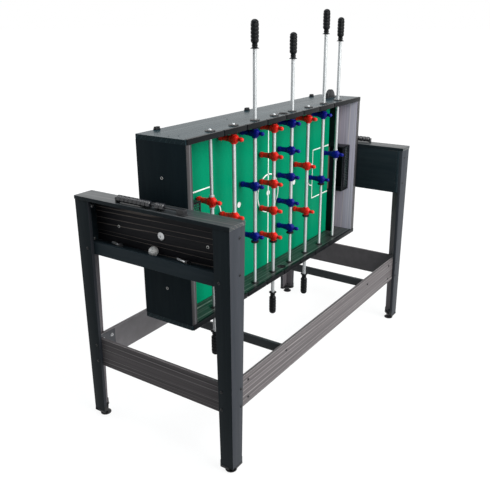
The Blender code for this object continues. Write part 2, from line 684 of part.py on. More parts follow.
def make_side_rail(side, sign):
    """A long rail of the cabinet with its rod bearings, serving hole, clips and swing grip."""
    bm = bmesh.new()
    low = (-HALF_CABINET, -HALF_DEPTH, PIVOT_HEIGHT + sign * RAIL_INNER)
    add_box(bm, low, (HALF_CABINET, HALF_DEPTH, PIVOT_HEIGHT + sign * HALF_HEIGHT), BOARD_CHAMFER)
    rail = new_object(f"side_rail_{side}", bm, "black_laminate", (0, 0, PIVOT_HEIGHT))
    extra = bmesh.new()
    add_bushings(extra, sign)
    add_clips(extra, sign)
    if sign > 0:
        add_swing_grip(extra)
    centre = (0, -ROD_DEPTH, PIVOT_HEIGHT)
    rim = SERVE_RADIUS + SERVE_RIM
    collar = ((rim, HALF_HEIGHT - JOINT_DEPTH), (rim, HALF_HEIGHT + SERVE_COLLAR))
    add_turned(extra, collar, centre, "Z", ROD_SIDES, sign)
    combine(rail, extra, "UNION")
    holes = bmesh.new()
    inner, outer = RAIL_INNER - BUSH_SEAT - OVERRUN, HALF_HEIGHT + BUSH_RIM + OVERRUN
    add_turned(holes, ((SERVE_RADIUS, inner), (SERVE_RADIUS, outer)), centre, "Z", ROD_SIDES, sign)
    for number in range(len(RODS)):
        place = (rod_x(number), -ROD_DEPTH, PIVOT_HEIGHT)
        add_turned(holes, ((BUSH_BORE, inner), (BUSH_BORE, outer)), place, "Z", ROD_SIDES, sign)
    combine(rail, holes, "DIFFERENCE")
    shade(rail)


def make_end_wall(end, side_x):
    """A thick end wall between the rails, with the pivot bore and two lock sockets."""
    bm = bmesh.new()
    half = RAIL_INNER - SEAT_GAP
    low = (side_x * WALL_INNER, -HALF_DEPTH, PIVOT_HEIGHT - half)
    add_box(bm, low, (side_x * HALF_CABINET, HALF_DEPTH, PIVOT_HEIGHT + half))
    wall = new_object(f"end_wall_{end}", bm, "grain_laminate", (0, 0, PIVOT_HEIGHT))
    holes = bmesh.new()
    bore = PIVOT_RADIUS + PIVOT_CLEARANCE
    face = side_x * HALF_CABINET
    depth = PIVOT_DEPTH + PIVOT_CLEARANCE
    add_turned(holes, ((bore, -depth), (bore, OVERRUN)), (face, 0, PIVOT_HEIGHT), "X", ROD_SIDES, side_x)
    socket = ((LOCK_BORE, -LOCK_SOCKET_DEPTH), (LOCK_BORE, OVERRUN))
    for offset in (-LOCK_OFFSET, LOCK_OFFSET):
        add_turned(holes, socket, (face, 0, PIVOT_HEIGHT + offset), "X", SMALL_SIDES, side_x)
    combine(wall, holes, "DIFFERENCE")


def make_field(name, finish, face, back):
    """A board let in between the rails and the end walls."""
    bm = bmesh.new()
    low = (-FIELD_HALF_LENGTH, face, PIVOT_HEIGHT - FIELD_HALF_WIDTH)
    add_box(bm, low, (FIELD_HALF_LENGTH, back, PIVOT_HEIGHT + FIELD_HALF_WIDTH))
    new_object(name, bm, finish, (0, 0, PIVOT_HEIGHT))


def make_fields():
    make_field("foosball_field", "green_field", -FIELD_FACE, FIELD_BOARD - FIELD_FACE)
    make_field("hockey_field", "white_field", HOCKEY_FACE, HOCKEY_FACE - HOCKEY_BOARD)


def lattice_edges(low, high, count):
    """Edges of bars and holes in turn between two places, starting and ending with a bar."""
    hole = (high - low - (count + 1) * LATTICE_BAR) / count
    edges = [low]
    for _ in range(count):
        edges.append(edges[-1] + LATTICE_BAR)
        edges.append(edges[-1] + hole)
    edges.append(high)
    return edges


def add_hood(bm, side_x):
    """A goal hood: a lattice roof on two side walls, open to the field and to the end wall."""
    xs = lattice_edges(GOAL_MOUTH, FIELD_HALF_LENGTH, LATTICE_ROWS)
    zs = lattice_edges(-GOAL_HALF_WIDTH, GOAL_HALF_WIDTH, LATTICE_COLUMNS)
    rows, columns = len(xs) - 1, len(zs) - 1

    def sheet(y):
        return [[bm.verts.new((side_x * x, y, PIVOT_HEIGHT + z)) for z in zs] for x in xs]

    def solid(i, j):
        return 0 <= i < rows and 0 <= j < columns and not (i % 2 and j % 2)

    outer = sheet(-GOAL_ROOF)
    inner = sheet(GOAL_WALL - GOAL_ROOF)
    foot = {}
    for k in (0, 1, columns - 1, columns):
        foot[k] = [bm.verts.new((side_x * x, -GOAL_FLOOR, PIVOT_HEIGHT + zs[k])) for x in xs]
    quads = []
    for i in range(rows):
        for j in range(columns):
            if not solid(i, j):
                continue
            quads.append((outer[i][j], outer[i + 1][j], outer[i + 1][j + 1], outer[i][j + 1]))
            if j in (0, columns - 1):
                quads.append((foot[j][i], foot[j][i + 1], foot[j + 1][i + 1], foot[j + 1][i]))
            else:
                quads.append((inner[i][j], inner[i + 1][j], inner[i + 1][j + 1], inner[i][j + 1]))
            for step, row in ((-1, i), (1, i + 1)):
                if not solid(i + step, j):
                    quads.append((outer[row][j], outer[row][j + 1], inner[row][j + 1], inner[row][j]))
            for step, column in ((-1, j), (1, j + 1)):
                if not solid(i, j + step):
                    ends = (outer[i][column], outer[i + 1][column])
                    quads.append((*ends, inner[i + 1][column], inner[i][column]))
    for k in foot:
        for i in range(rows):
            quads.append((inner[i][k], inner[i + 1][k], foot[k][i + 1], foot[k][i]))
    for j in (0, columns - 1):
        for i in (0, rows):
            quads.append((inner[i][j], inner[i][j + 1], foot[j + 1][i], foot[j][i]))
    faces = [bm.faces.new(quad) for quad in quads]
    bmesh.ops.recalc_face_normals(bm, faces=faces)


def make_goal(end, side_x):
    """One moulding across the end of the field: the goal hood between two low kick strips."""
    bm = bmesh.new()
    add_hood(bm, side_x)
    goal = new_object(f"goal_{end}", bm, "black_plastic", (0, 0, PIVOT_HEIGHT))
    strips = bmesh.new()
    for sign in (-1, 1):
        low = (side_x * KICK_START, -GOAL_FLOOR - KICK_HEIGHT)
        high = (side_x * (KICK_START + KICK_THICKNESS), -GOAL_FLOOR)
        inner = PIVOT_HEIGHT + sign * (GOAL_HALF_WIDTH - LATTICE_BAR / 2)
        add_box(strips, (*low, inner), (*high, PIVOT_HEIGHT + sign * FIELD_HALF_WIDTH))
    combine(goal, strips, "UNION")


def player_offsets(number):
    """Places of a rod's players along it, from their middle."""
    team, count, spacing, clearance = RODS[number]
    return [(i - (count - 1) / 2) * spacing for i in range(count)]


def is_goalie(number):
    return len(player_offsets(number)) == 1


def rod_travel(number):
    """How far the players' middle can leave the cabinet's middle, either way."""
    return GOALIE_TRAVEL if is_goalie(number) else PLAYER_LIMIT - player_offsets(number)[-1]


def rod_rest(number):
    """The players' middle above the pivot at rest: every rod but the goalies' is pushed right up."""
    return GOALIE_REST if is_goalie(number) else rod_travel(number)


def handle_sign(number):
    """Blue handles come out of the upper rail and red ones out of the lower rail."""
    return 1 if RODS[number][0] == "blue" else -1


def handle_reach(number):
    """From the players' middle to the start of the handle, which stops outside the rail."""
    return HALF_HEIGHT + rod_travel(number) + RODS[number][3]


def rod_place(number):
    return (rod_x(number), -ROD_DEPTH, PIVOT_HEIGHT)


def outer_player(number):
    """The outer end of the last player's shirt, from the players' middle."""
    return player_offsets(number)[-1] + PLAYER_HALF


def make_inner_rod(number):
    """The solid rod that turns in the rail opposite the handle, its cap outside that rail."""
    tip = rod_travel(number) - outer_player(number) - BUMPER_HEIGHT + INNER_ROD_OVERLAP
    stub = HALF_HEIGHT + END_CAP_LENGTH
    shoulder = RAIL_INNER - BUSH_SEAT
    profile = (
        (TUBE_RADIUS - END_CAP_CHAMFER, -stub),
        (TUBE_RADIUS, END_CAP_CHAMFER - stub),
        (TUBE_RADIUS, -shoulder),
        (INNER_ROD_RADIUS, -shoulder),
        (INNER_ROD_RADIUS, tip),
    )
    bm = bmesh.new()
    add_turned(bm, profile, rod_place(number), "Z", ROD_SIDES, handle_sign(number))
    shade(new_object(f"rod_{number + 1}_inner", bm, "steel", rod_place(number)))


def add_player(bm, x, height):
    """One player with the toes towards the field, skinned through its sections."""
    rings = []
    widen = 1 / cos(pi / SMALL_SIDES)
    for reach, width, depth in PLAYER_SHARES:
        ring = []
        for i in range(SMALL_SIDES):
            angle = 2 * pi * (i + 1 / 2) / SMALL_SIDES
            ring.append((
                x + depth * PLAYER_DEPTH * widen * cos(angle),
                reach * PLAYER_REACH - ROD_DEPTH,
                height + width * PLAYER_HALF * widen * sin(angle),
            ))
        rings.append(ring)
    add_loft(bm, rings)


def make_outer_rod(number):
    """The tube that slides on the inner rod, with its players and a bumper at each end."""
    place, sign = rod_place(number), handle_sign(number)
    team, count, spacing, clearance = RODS[number]
    rest = sign * rod_rest(number)
    bumper = outer_player(number) + SEAT_GAP
    lip = bumper + BUMPER_HEIGHT
    top = handle_reach(number) + HANDLE_SOCKET
    profile = (
        (BUMPER_RADIUS, -lip),
        (BUMPER_RADIUS, -bumper),
        (TUBE_RADIUS, -bumper),
        (TUBE_RADIUS, bumper),
        (BUMPER_RADIUS, bumper),
        (BUMPER_RADIUS, lip),
        (TUBE_RADIUS, lip),
        (TUBE_RADIUS, top),
    )
    bm = bmesh.new()
    add_turned(bm, [(radius, rest + height) for radius, height in profile], place, "Z", ROD_SIDES, sign)
    rod = new_object(f"rod_{number + 1}_outer", bm, team + "_plastic", place)
    players = bmesh.new()
    for offset in player_offsets(number):
        add_player(players, place[0], PIVOT_HEIGHT + rod_rest(number) + offset)
    combine(rod, players, "UNION")
    bore = bmesh.new()
    ends = ((TUBE_BORE, rest - lip - OVERRUN), (TUBE_BORE, rest + top + OVERRUN))
    add_turned(bore, ends, place, "Z", ROD_SIDES, sign)
    combine(rod, bore, "DIFFERENCE")
    shade(rod)


def make_handle(number):
    """The moulded handle, a blind socket over the end of the tube."""
    place, sign = rod_place(number), handle_sign(number)
    start = sign * rod_rest(number) + handle_reach(number)
    neck = start + HANDLE_RIM
    grip = neck + HANDLE_NECK
    end = grip + HANDLE_GRIP
    bore = TUBE_RADIUS + SEAT_GAP
    profile = (
        (bore, start + HANDLE_SOCKET + SEAT_GAP),
        (bore, start),
        (HANDLE_RIM_RADIUS, start),
        (HANDLE_RIM_RADIUS, neck),
        (HANDLE_NECK_RADIUS, neck),
        (HANDLE_NECK_RADIUS, grip - HANDLE_ROUND / 2),
        (HANDLE_GRIP_RADIUS, grip),
        (HANDLE_GRIP_RADIUS, end - HANDLE_ROUND),
        (HANDLE_GRIP_RADIUS * HANDLE_TIP_SHARE, end),
    )
    bm = bmesh.new()
    add_turned(bm, profile, place, "Z", ROD_SIDES, sign)
    shade(new_object(f"rod_{number + 1}_handle", bm, "black_rubber", place))


def make_end_frames():
    for end, side_x in ENDS:
        make_top_board(end, side_x)
        make_apron(end, side_x)
        make_pivot_bolt(end, side_x)
        make_tray(end, side_x)
        make_end_stretcher(end, side_x)
        make_cross_brace(end, side_x)
    for side, side_y in SIDES:
        make_side_stretcher(side, side_y)


def make_loose_pieces():
    make_scorer_beads()
    for side, share in PIN_SHARES:
        make_lock_pin(side, share * SIDE_INNER)
    make_game_ball()


def make_cabinet():
    make_side_rail("upper", 1)
    make_side_rail("lower", -1)
    for end, side_x in ENDS:
        make_end_wall(end, side_x)
        make_goal(end, side_x)
    make_fields()


def make_rods():
    for number in range(len(RODS)):
        make_inner_rod(number)
        make_outer_rod(number)
        make_handle(number)


clear_scene()
make_legs()
make_end_frames()
make_loose_pieces()
make_cabinet()
make_rods()
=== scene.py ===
from math import cos, pi, radians, sin, tau

import bmesh
import bpy
from mathutils import Matrix, Vector


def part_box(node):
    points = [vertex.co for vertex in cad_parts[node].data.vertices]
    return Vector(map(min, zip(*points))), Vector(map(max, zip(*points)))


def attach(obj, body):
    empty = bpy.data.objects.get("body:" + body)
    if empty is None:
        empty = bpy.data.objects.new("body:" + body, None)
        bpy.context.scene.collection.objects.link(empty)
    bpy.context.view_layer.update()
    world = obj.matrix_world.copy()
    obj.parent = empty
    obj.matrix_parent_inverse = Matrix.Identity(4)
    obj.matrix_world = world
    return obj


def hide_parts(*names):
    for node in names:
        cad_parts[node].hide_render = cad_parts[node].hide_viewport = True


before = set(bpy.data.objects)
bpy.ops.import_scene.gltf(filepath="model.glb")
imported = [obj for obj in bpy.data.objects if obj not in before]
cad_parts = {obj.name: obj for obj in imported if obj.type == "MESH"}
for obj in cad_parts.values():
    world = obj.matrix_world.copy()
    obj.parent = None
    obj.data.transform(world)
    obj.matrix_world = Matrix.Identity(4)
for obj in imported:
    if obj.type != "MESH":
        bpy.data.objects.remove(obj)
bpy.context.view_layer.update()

# The camera.
# A long-ish lens stands at the near right corner of the table, a little above the cabinet, and looks
# down along it, so that the foosball side and the near end are both seen.

CAMERA_PLACE = Vector((-1.9801, -1.2444, 1.3491))
CAMERA_AIM = Vector((0.77745, 0.52898, -0.34021)).normalized()
CAMERA_ROLL = -0.0066
CAMERA_LENS = 46.63
SENSOR_WIDTH = 36.0

level = CAMERA_AIM.cross(Vector((0, 0, 1))).normalized()
upright = level.cross(CAMERA_AIM)
right = cos(CAMERA_ROLL) * level + sin(CAMERA_ROLL) * upright
up = cos(CAMERA_ROLL) * upright - sin(CAMERA_ROLL) * level
lens = bpy.data.cameras.new("product_camera")
lens.lens = CAMERA_LENS
lens.sensor_width = SENSOR_WIDTH
lens.clip_end = 200.0
camera = bpy.data.objects.new("product_camera", lens)
turned_to_table = Matrix((right, up, -CAMERA_AIM)).transposed().to_4x4()
camera.matrix_world = Matrix.Translation(CAMERA_PLACE) @ turned_to_table
bpy.context.scene.collection.objects.link(camera)
bpy.context.scene.camera = camera
bpy.context.scene.view_settings.view_transform = "Standard"

# The studio.
# A white sweep that still takes a faint shadow, a white surround, large soft lamps from the playing
# side and overhead, and weak ones that open the shade low down, at the near end and behind.

FLOOR_REACH = 60.0
FLOOR_TONE = (0.15, 0.15, 0.15, 1.0)
FLOOR_GLOW, GLOW_START, GLOW_END = 0.88, 0.9, 3.2
BOUNCE_TONE = (0.26, 0.26, 0.26, 1.0)
SKY_TONE = (0.88, 0.96, 1.0, 1.0)
SKY_LEVEL = 0.12
TABLE_MIDDLE = (0.0, 0.0, 0.6)
LAMPS = (
    ("side_softbox", (-0.15, -3.2, 2.5), 3.4, 190.0, (1.0, 0.985, 0.97)),
    ("low_side_fill", (0.2, -3.4, 0.7), 1.8, 30.0, (1.0, 0.985, 0.98)),
    ("top_softbox", (-0.3, 0.2, 3.6), 2.6, 56.0, (0.95, 0.98, 1.0)),
    ("end_fill", (-3.4, 0.4, 1.4), 2.0, 3.0, (0.86, 0.95, 1.0)),
    ("back_fill", (-0.9, 3.4, 2.6), 3.0, 60.0, (0.96, 0.98, 1.0)),
)


def add(tree, kind, inputs=None, **settings):
    """Adds a node to a shader or geometry tree; an input takes a value or another node's socket."""
    made = tree.nodes.new(kind)
    for setting, value in settings.items():
        setattr(made, setting, value)
    for key, value in (inputs or {}).items():
        if isinstance(value, bpy.types.NodeSocket):
            tree.links.new(value, made.inputs[key])
        else:
            made.inputs[key].default_value = value
    return made


def maths(tree, operation, one, two=0.0):
    return add(tree, "ShaderNodeMath", {0: one, 1: two}, operation=operation).outputs[0]


def seen_directly(tree):
    """One where the camera, a mirror or a glass looks straight at a surface."""
    path = add(tree, "ShaderNodeLightPath")
    mirror = maths(tree, "MAXIMUM", path.outputs["Is Camera Ray"], path.outputs["Is Glossy Ray"])
    return maths(tree, "MAXIMUM", mirror, path.outputs["Is Transmission Ray"])


floor_finish = bpy.data.materials.new("pale_sweep")
floor_finish.use_nodes = True
tree = floor_finish.node_tree
tree.nodes.clear()
grain = add(tree, "ShaderNodeTexNoise", {"Scale": 3.0, "Detail": 3.0})
tone = add(tree, "ShaderNodeMixRGB", {"Fac": 0.03, "Color1": FLOOR_TONE, "Color2": grain.outputs["Color"]})
paper = add(tree, "ShaderNodeBsdfDiffuse", {"Color": tone.outputs["Color"]})
spot = add(tree, "ShaderNodeTexCoord")
away = add(tree, "ShaderNodeVectorMath", {0: spot.outputs["Object"]}, operation="LENGTH").outputs["Value"]
rising = {"Value": away, "From Min": GLOW_START, "From Max": GLOW_END, "To Min": FLOOR_GLOW, "To Max": 1.0}
glow = add(tree, "ShaderNodeEmission", {"Strength": add(tree, "ShaderNodeMapRange", rising).outputs[0]})
shown = add(tree, "ShaderNodeAddShader", {0: paper.outputs[0], 1: glow.outputs[0]})
bounce = add(tree, "ShaderNodeBsdfDiffuse", {"Color": BOUNCE_TONE})
either = add(tree, "ShaderNodeMixShader", {0: seen_directly(tree), 1: bounce.outputs[0], 2: shown.outputs[0]})
add(tree, "ShaderNodeOutputMaterial", {"Surface": either.outputs[0]})

sweep = bmesh.new()
bmesh.ops.create_grid(sweep, x_segments=4, y_segments=4, size=FLOOR_REACH)
sweep_mesh = bpy.data.meshes.new("floor")
sweep.to_mesh(sweep_mesh)
sweep.free()
sweep_mesh.materials.append(floor_finish)
floor = bpy.data.objects.new("floor", sweep_mesh)
bpy.context.scene.collection.objects.link(floor)

surround = bpy.data.worlds.new("studio")
surround.use_nodes = True
bpy.context.scene.world = surround
tree = surround.node_tree
tree.nodes.clear()
room = add(tree, "ShaderNodeBackground", {"Color": SKY_TONE, "Strength": SKY_LEVEL})
white = add(tree, "ShaderNodeBackground", {"Color": (1.0, 1.0, 1.0, 1.0), "Strength": 1.0})
either = add(tree, "ShaderNodeMixShader", {0: seen_directly(tree), 1: room.outputs[0], 2: white.outputs[0]})
add(tree, "ShaderNodeOutputWorld", {"Surface": either.outputs[0]})

for lamp_name, place, across, watts, tint in LAMPS:
    light = bpy.data.lights.new(lamp_name, "AREA")
    light.shape = "DISK"
    light.size = across
    light.energy = watts
    light.color = tint
    lamp = bpy.data.objects.new(lamp_name, light)
    lamp.location = place
    aim = Vector(TABLE_MIDDLE) - Vector(place)
    lamp.rotation_euler = aim.to_track_quat("-Z", "Y").to_euler()
    bpy.context.scene.collection.objects.link(lamp)

# The legs.
# Two boards each, mitred at the outer corner and narrower towards the foot: black foil towards the end,
# charcoal to the side, grey backing inside painted lighter as painted light, in a moulded plastic shoe.

HALF_LENGTH, HALF_WIDTH = 0.670, 0.3025
LEG_TOP, SHOE_TOP, SHOE_BOTTOM = 0.803, 0.0240, 0.0160
BOARD = 0.012
BOARD_EDGE, PANEL_EDGE, LIP_EDGE = (0.0012, 3), (0.0008, 2), (0.0006, 2)
LEG_FRONT = (0.047, 0.058)
LEG_SIDE = (0.050, 0.0755)
SHOE_LIP, LIP, SHOE_PROUD = 0.018, 0.0018, 0.0006
GUSSET, GUSSET_CUT, GUSSET_EDGE = 0.043, 0.021, 0.001
GUSSET_CORNERS = (
    (GUSSET_EDGE, GUSSET_EDGE), (GUSSET, GUSSET_EDGE), (GUSSET, GUSSET_CUT), (GUSSET_CUT, GUSSET),
    (GUSSET_EDGE, GUSSET),
)
WAYS = (-1, 1)
ENDS = (("near", -1), ("far", 1))
SIDES = (("right", -1), ("left", 1))
LEG_FOIL = ((0.028, 0.033, 0.040), (0.038, 0.042, 0.051))
# The inner grey backing is partly its own paler foil and partly painted light: it is painted lighter to make
# up for the light that the cabinet's shadow keeps off it.
LEG_BACKING_AND_PAINTED_LIGHT = ((0.150, 0.140, 0.152), (0.190, 0.178, 0.192))
LEG_BLACK = ((0.009, 0.014, 0.017), (0.014, 0.020, 0.024))
SHOE_BLACK = (0.012, 0.013, 0.014)
LINE_CROWDING, LINE_DRIFT, LINE_FADE, BROAD_TONES, GLOSS_DRIFT, RUBBED = 0.86, 0.36, 0.5, 0.22, 0.6, 1.5


def tinted(colour):
    return (*colour, 1.0)


def ramp(tree, factor, *stops):
    """Colours by position, from a factor between nought and one."""
    made = add(tree, "ShaderNodeValToRGB", {"Fac": factor})
    band = made.color_ramp.elements
    band[0].position, band[0].color = stops[0][0], tinted(stops[0][1])
    band[1].position, band[1].color = stops[-1][0], tinted(stops[-1][1])
    for position, colour in stops[1:-1]:
        band.new(position).color = tinted(colour)
    return made.outputs["Color"]


def own_place(tree):
    """The place on the piece in its own coordinates."""
    return add(tree, "ShaderNodeTexCoord").outputs["Object"]


def mixed(tree, factor, one, two):
    """A colour that gives way to another as the factor goes from nought to one."""
    return add(tree, "ShaderNodeMixRGB", {"Fac": factor, "Color1": one, "Color2": two}).outputs[0]


def scaled(tree, colour, share):
    return add(tree, "ShaderNodeVectorMath", {0: colour, "Scale": share}, operation="SCALE").outputs[0]


def stretched_noise(tree, stretch, detail=5.0, roughness=0.6):
    """Noise of one scale, or drawn out along the axis whose scale is smallest."""
    scale = (stretch,) * 3 if isinstance(stretch, float) else stretch
    mapped = add(tree, "ShaderNodeMapping", {"Vector": own_place(tree), "Scale": scale})
    noise = add(tree, "ShaderNodeTexNoise", {
        "Vector": mapped.outputs["Vector"], "Scale": 1.0, "Detail": detail, "Roughness": roughness,
    })
    return noise.outputs["Fac"]


def worn_edge(tree, reach):
    """One along the outer edges of a piece, fading over a short reach."""
    bevel = add(tree, "ShaderNodeBevel", {"Radius": reach}, samples=3)
    flat = add(tree, "ShaderNodeNewGeometry")
    both = {0: bevel.outputs["Normal"], 1: flat.outputs["Normal"]}
    likeness = add(tree, "ShaderNodeVectorMath", both, operation="DOT_PRODUCT").outputs["Value"]
    return maths(tree, "MULTIPLY", maths(tree, "SUBTRACT", 1.0, likeness), 4.0)


def finish(name, tree_colour, roughness, bump, distance, metallic=0.0, specular=0.5, coat=0.0):
    """A material from functions of its tree that give the colour, the roughness and the bump."""
    made = bpy.data.materials.new(name)
    made.use_nodes = True
    tree = made.node_tree
    shader = tree.nodes["Principled BSDF"]
    shader.inputs["Metallic"].default_value = metallic
    shader.inputs["Specular IOR Level"].default_value = specular
    shader.inputs["Coat Weight"].default_value = coat
    tree.links.new(tree_colour(tree), shader.inputs["Base Color"])
    tree.links.new(roughness(tree), shader.inputs["Roughness"])
    relief = add(tree, "ShaderNodeBump", {"Height": bump(tree), "Strength": 0.5, "Distance": distance})
    tree.links.new(relief.outputs["Normal"], shader.inputs["Normal"])
    return made


def between(tree, factor, low, high):
    """A number that runs between two ends as the factor goes from nought to one."""
    return add(tree, "ShaderNodeMapRange", {"Value": factor, "To Min": low, "To Max": high}).outputs[0]


def times(stretch, share):
    """Every part of a stretch by one share."""
    return [part * share for part in stretch]


def grain_lines(tree, stretch, wander, width):
    """Thin lines along the board, a little unevenly spaced because slow noise pushes them about."""
    crowded = {0: own_place(tree), 1: times(stretch, LINE_CROWDING)}
    across = add(tree, "ShaderNodeVectorMath", crowded, operation="DOT_PRODUCT").outputs["Value"]
    slow = stretched_noise(tree, times(stretch, LINE_DRIFT), 1.5, 0.35)
    pushed = maths(tree, "ADD", across, maths(tree, "MULTIPLY", slow, wander))
    folded = maths(tree, "PINGPONG", pushed, 1.0)
    made = {"Value": folded, "From Min": 1.0 - width, "From Max": 1.0 - width * 0.4}
    return add(tree, "ShaderNodeMapRange", made).outputs[0]


def foil(name, dark, light, stretch, line=None, lines=(4.0, 0.16), rough=(0.42, 0.60), specular=0.22):
    """Wood-print foil: fine fibres along the board, long thin pale grain lines and rubbed edges."""

    def colour(tree):
        fibres = ramp(tree, stretched_noise(tree, stretch), (0.32, dark), (0.68, light))
        broad = stretched_noise(tree, times(stretch, BROAD_TONES), 2.0)
        toned = scaled(tree, fibres, between(tree, broad, 0.78, 1.22))
        if line:
            marks = grain_lines(tree, stretch, *lines)
            fade = between(tree, stretched_noise(tree, times(stretch, LINE_FADE), 2.0), -0.4, 1.6)
            toned = mixed(tree, maths(tree, "MULTIPLY", marks, fade), toned, tinted(line))
        rubbed = [min(1.0, RUBBED * part + 0.012) for part in light]
        return mixed(tree, worn_edge(tree, 0.0014), toned, tinted(rubbed))

    def roughness(tree):
        return between(tree, stretched_noise(tree, times(stretch, GLOSS_DRIFT), 3.0), *rough)

    def fibre_height(tree):
        return stretched_noise(tree, stretch)

    return finish(name, colour, roughness, fibre_height, 0.00015, 0.0, specular)


def moulded(name, colour, rough=(0.34, 0.5), grain=900.0, specular=0.3, coat=0.0, drifts=0.14):
    """Moulded plastic: slight drifts of tone, a fine spark-eroded grain and paler rubbed edges."""

    def shades(tree):
        drift = stretched_noise(tree, 14.0, 3.0)
        darker = [part * (1.0 - drifts) for part in colour]
        lighter = [min(1.0, part * (1.0 + drifts) + 0.001) for part in colour]
        body = ramp(tree, drift, (0.3, darker), (0.7, lighter))
        rubbed = [min(1.0, RUBBED * part + 0.02) for part in colour]
        return mixed(tree, worn_edge(tree, 0.0007), body, tinted(rubbed))

    def roughness(tree):
        return between(tree, stretched_noise(tree, 60.0, 4.0), *rough)

    def pits(tree):
        return stretched_noise(tree, grain, 2.0)

    return finish(name, shades, roughness, pits, 0.00005, 0.0, specular, coat)


def rounded(bm, edges, rounding):
    """Rounds edges by a width, in a number of steps."""
    width, steps = rounding
    bmesh.ops.bevel(bm, geom=list(edges), offset=width, segments=steps, affect="EDGES", profile=0.6)


def box_into(bm, low, high, rounding, ways=(1, 1, 1), about=0.0):
    """A board or block between two corners, mirrored by its ways, upwards about a height."""
    size = [abs(b - a) for a, b in zip(low, high)]
    middle = Vector([base + way * (a + b) / 2 for base, way, a, b in zip((0, 0, about), ways, low, high)])
    placed = Matrix.Translation(middle) @ Matrix.Diagonal((*size, 1.0))
    made = bmesh.ops.create_cube(bm, size=1.0, matrix=placed)
    rounded(bm, {edge for vert in made["verts"] for edge in vert.link_edges}, rounding)


def loft_into(bm, rings, closed=False):
    """Skins rings of equal length, capped at the ends unless they close on themselves."""
    loops = [[bm.verts.new(point) for point in ring] for ring in rings]
    pairs = list(zip(loops, loops[1:]))
    if closed:
        pairs.append((loops[-1], loops[0]))
    count = len(loops[0])
    faces = []
    for one, two in pairs:
        for i in range(count):
            j = (i + 1) % count
            faces.append(bm.faces.new((one[i], one[j], two[j], two[i])))
    if not closed:
        faces.append(bm.faces.new(list(reversed(loops[0]))))
        faces.append(bm.faces.new(loops[-1]))
    bmesh.ops.recalc_face_normals(bm, faces=faces)
    return faces


def piece(name, bm, material, body, nodes=(), sharp=32.0):
    """Makes the finished mesh object, shades its rounds smooth and lets it ride on its body."""
    mesh = bpy.data.meshes.new(name)
    bm.to_mesh(mesh)
    bm.free()
    mesh.materials.append(material)
    mesh.shade_smooth()
    mesh.set_sharp_from_angle(angle=radians(sharp))
    made = bpy.data.objects.new(name, mesh)
    bpy.context.scene.collection.objects.link(made)
    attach(made, body)
    if nodes:
        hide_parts(*nodes)
    return made


def boxed(name, low, high, material, body, nodes, rounding, ways=(1, 1, 1), about=0.0):
    """A piece that is one board."""
    bm = bmesh.new()
    box_into(bm, low, high, rounding, ways, about)
    return piece(name, bm, material, body, nodes)


def refaced(made, *finishes):
    """Puts each further finish on the faces that its test picks; the first finish keeps the rest."""
    for material, _ in finishes:
        made.data.materials.append(material)
    for face in made.data.polygons:
        tests = enumerate((picks for _, picks in finishes), 1)
        face.material_index = next((number for number, picks in tests if picks(face)), 0)


def leg_section(height, share, corners, side_x, side_y):
    """A leg board's corners at a height, each a choice of the inner or outer line on both axes."""
    front = LEG_FRONT[0] + share * (LEG_FRONT[1] - LEG_FRONT[0])
    side = LEG_SIDE[0] + share * (LEG_SIDE[1] - LEG_SIDE[0])
    lines = {"outer": 0.0, "inner": BOARD, "front": front, "side": side}
    return [
        (side_x * (HALF_LENGTH - lines[x]), side_y * (HALF_WIDTH - lines[y]), height) for x, y in corners
    ]


LEG_CORNERS = (
    (("outer", "outer"), ("side", "outer"), ("side", "inner"), ("inner", "inner")),
    (("outer", "outer"), ("inner", "inner"), ("inner", "front"), ("outer", "front")),
)


def on_backing(face, side_x, side_y):
    """Whether a face is on the inner side of either leg board."""
    on_front = abs(side_x * face.center.x - (HALF_LENGTH - BOARD)) < 0.001 and side_x * face.normal.x < -0.5
    on_side = abs(side_y * face.center.y - (HALF_WIDTH - BOARD)) < 0.001 and side_y * face.normal.y < -0.5
    return on_front or on_side


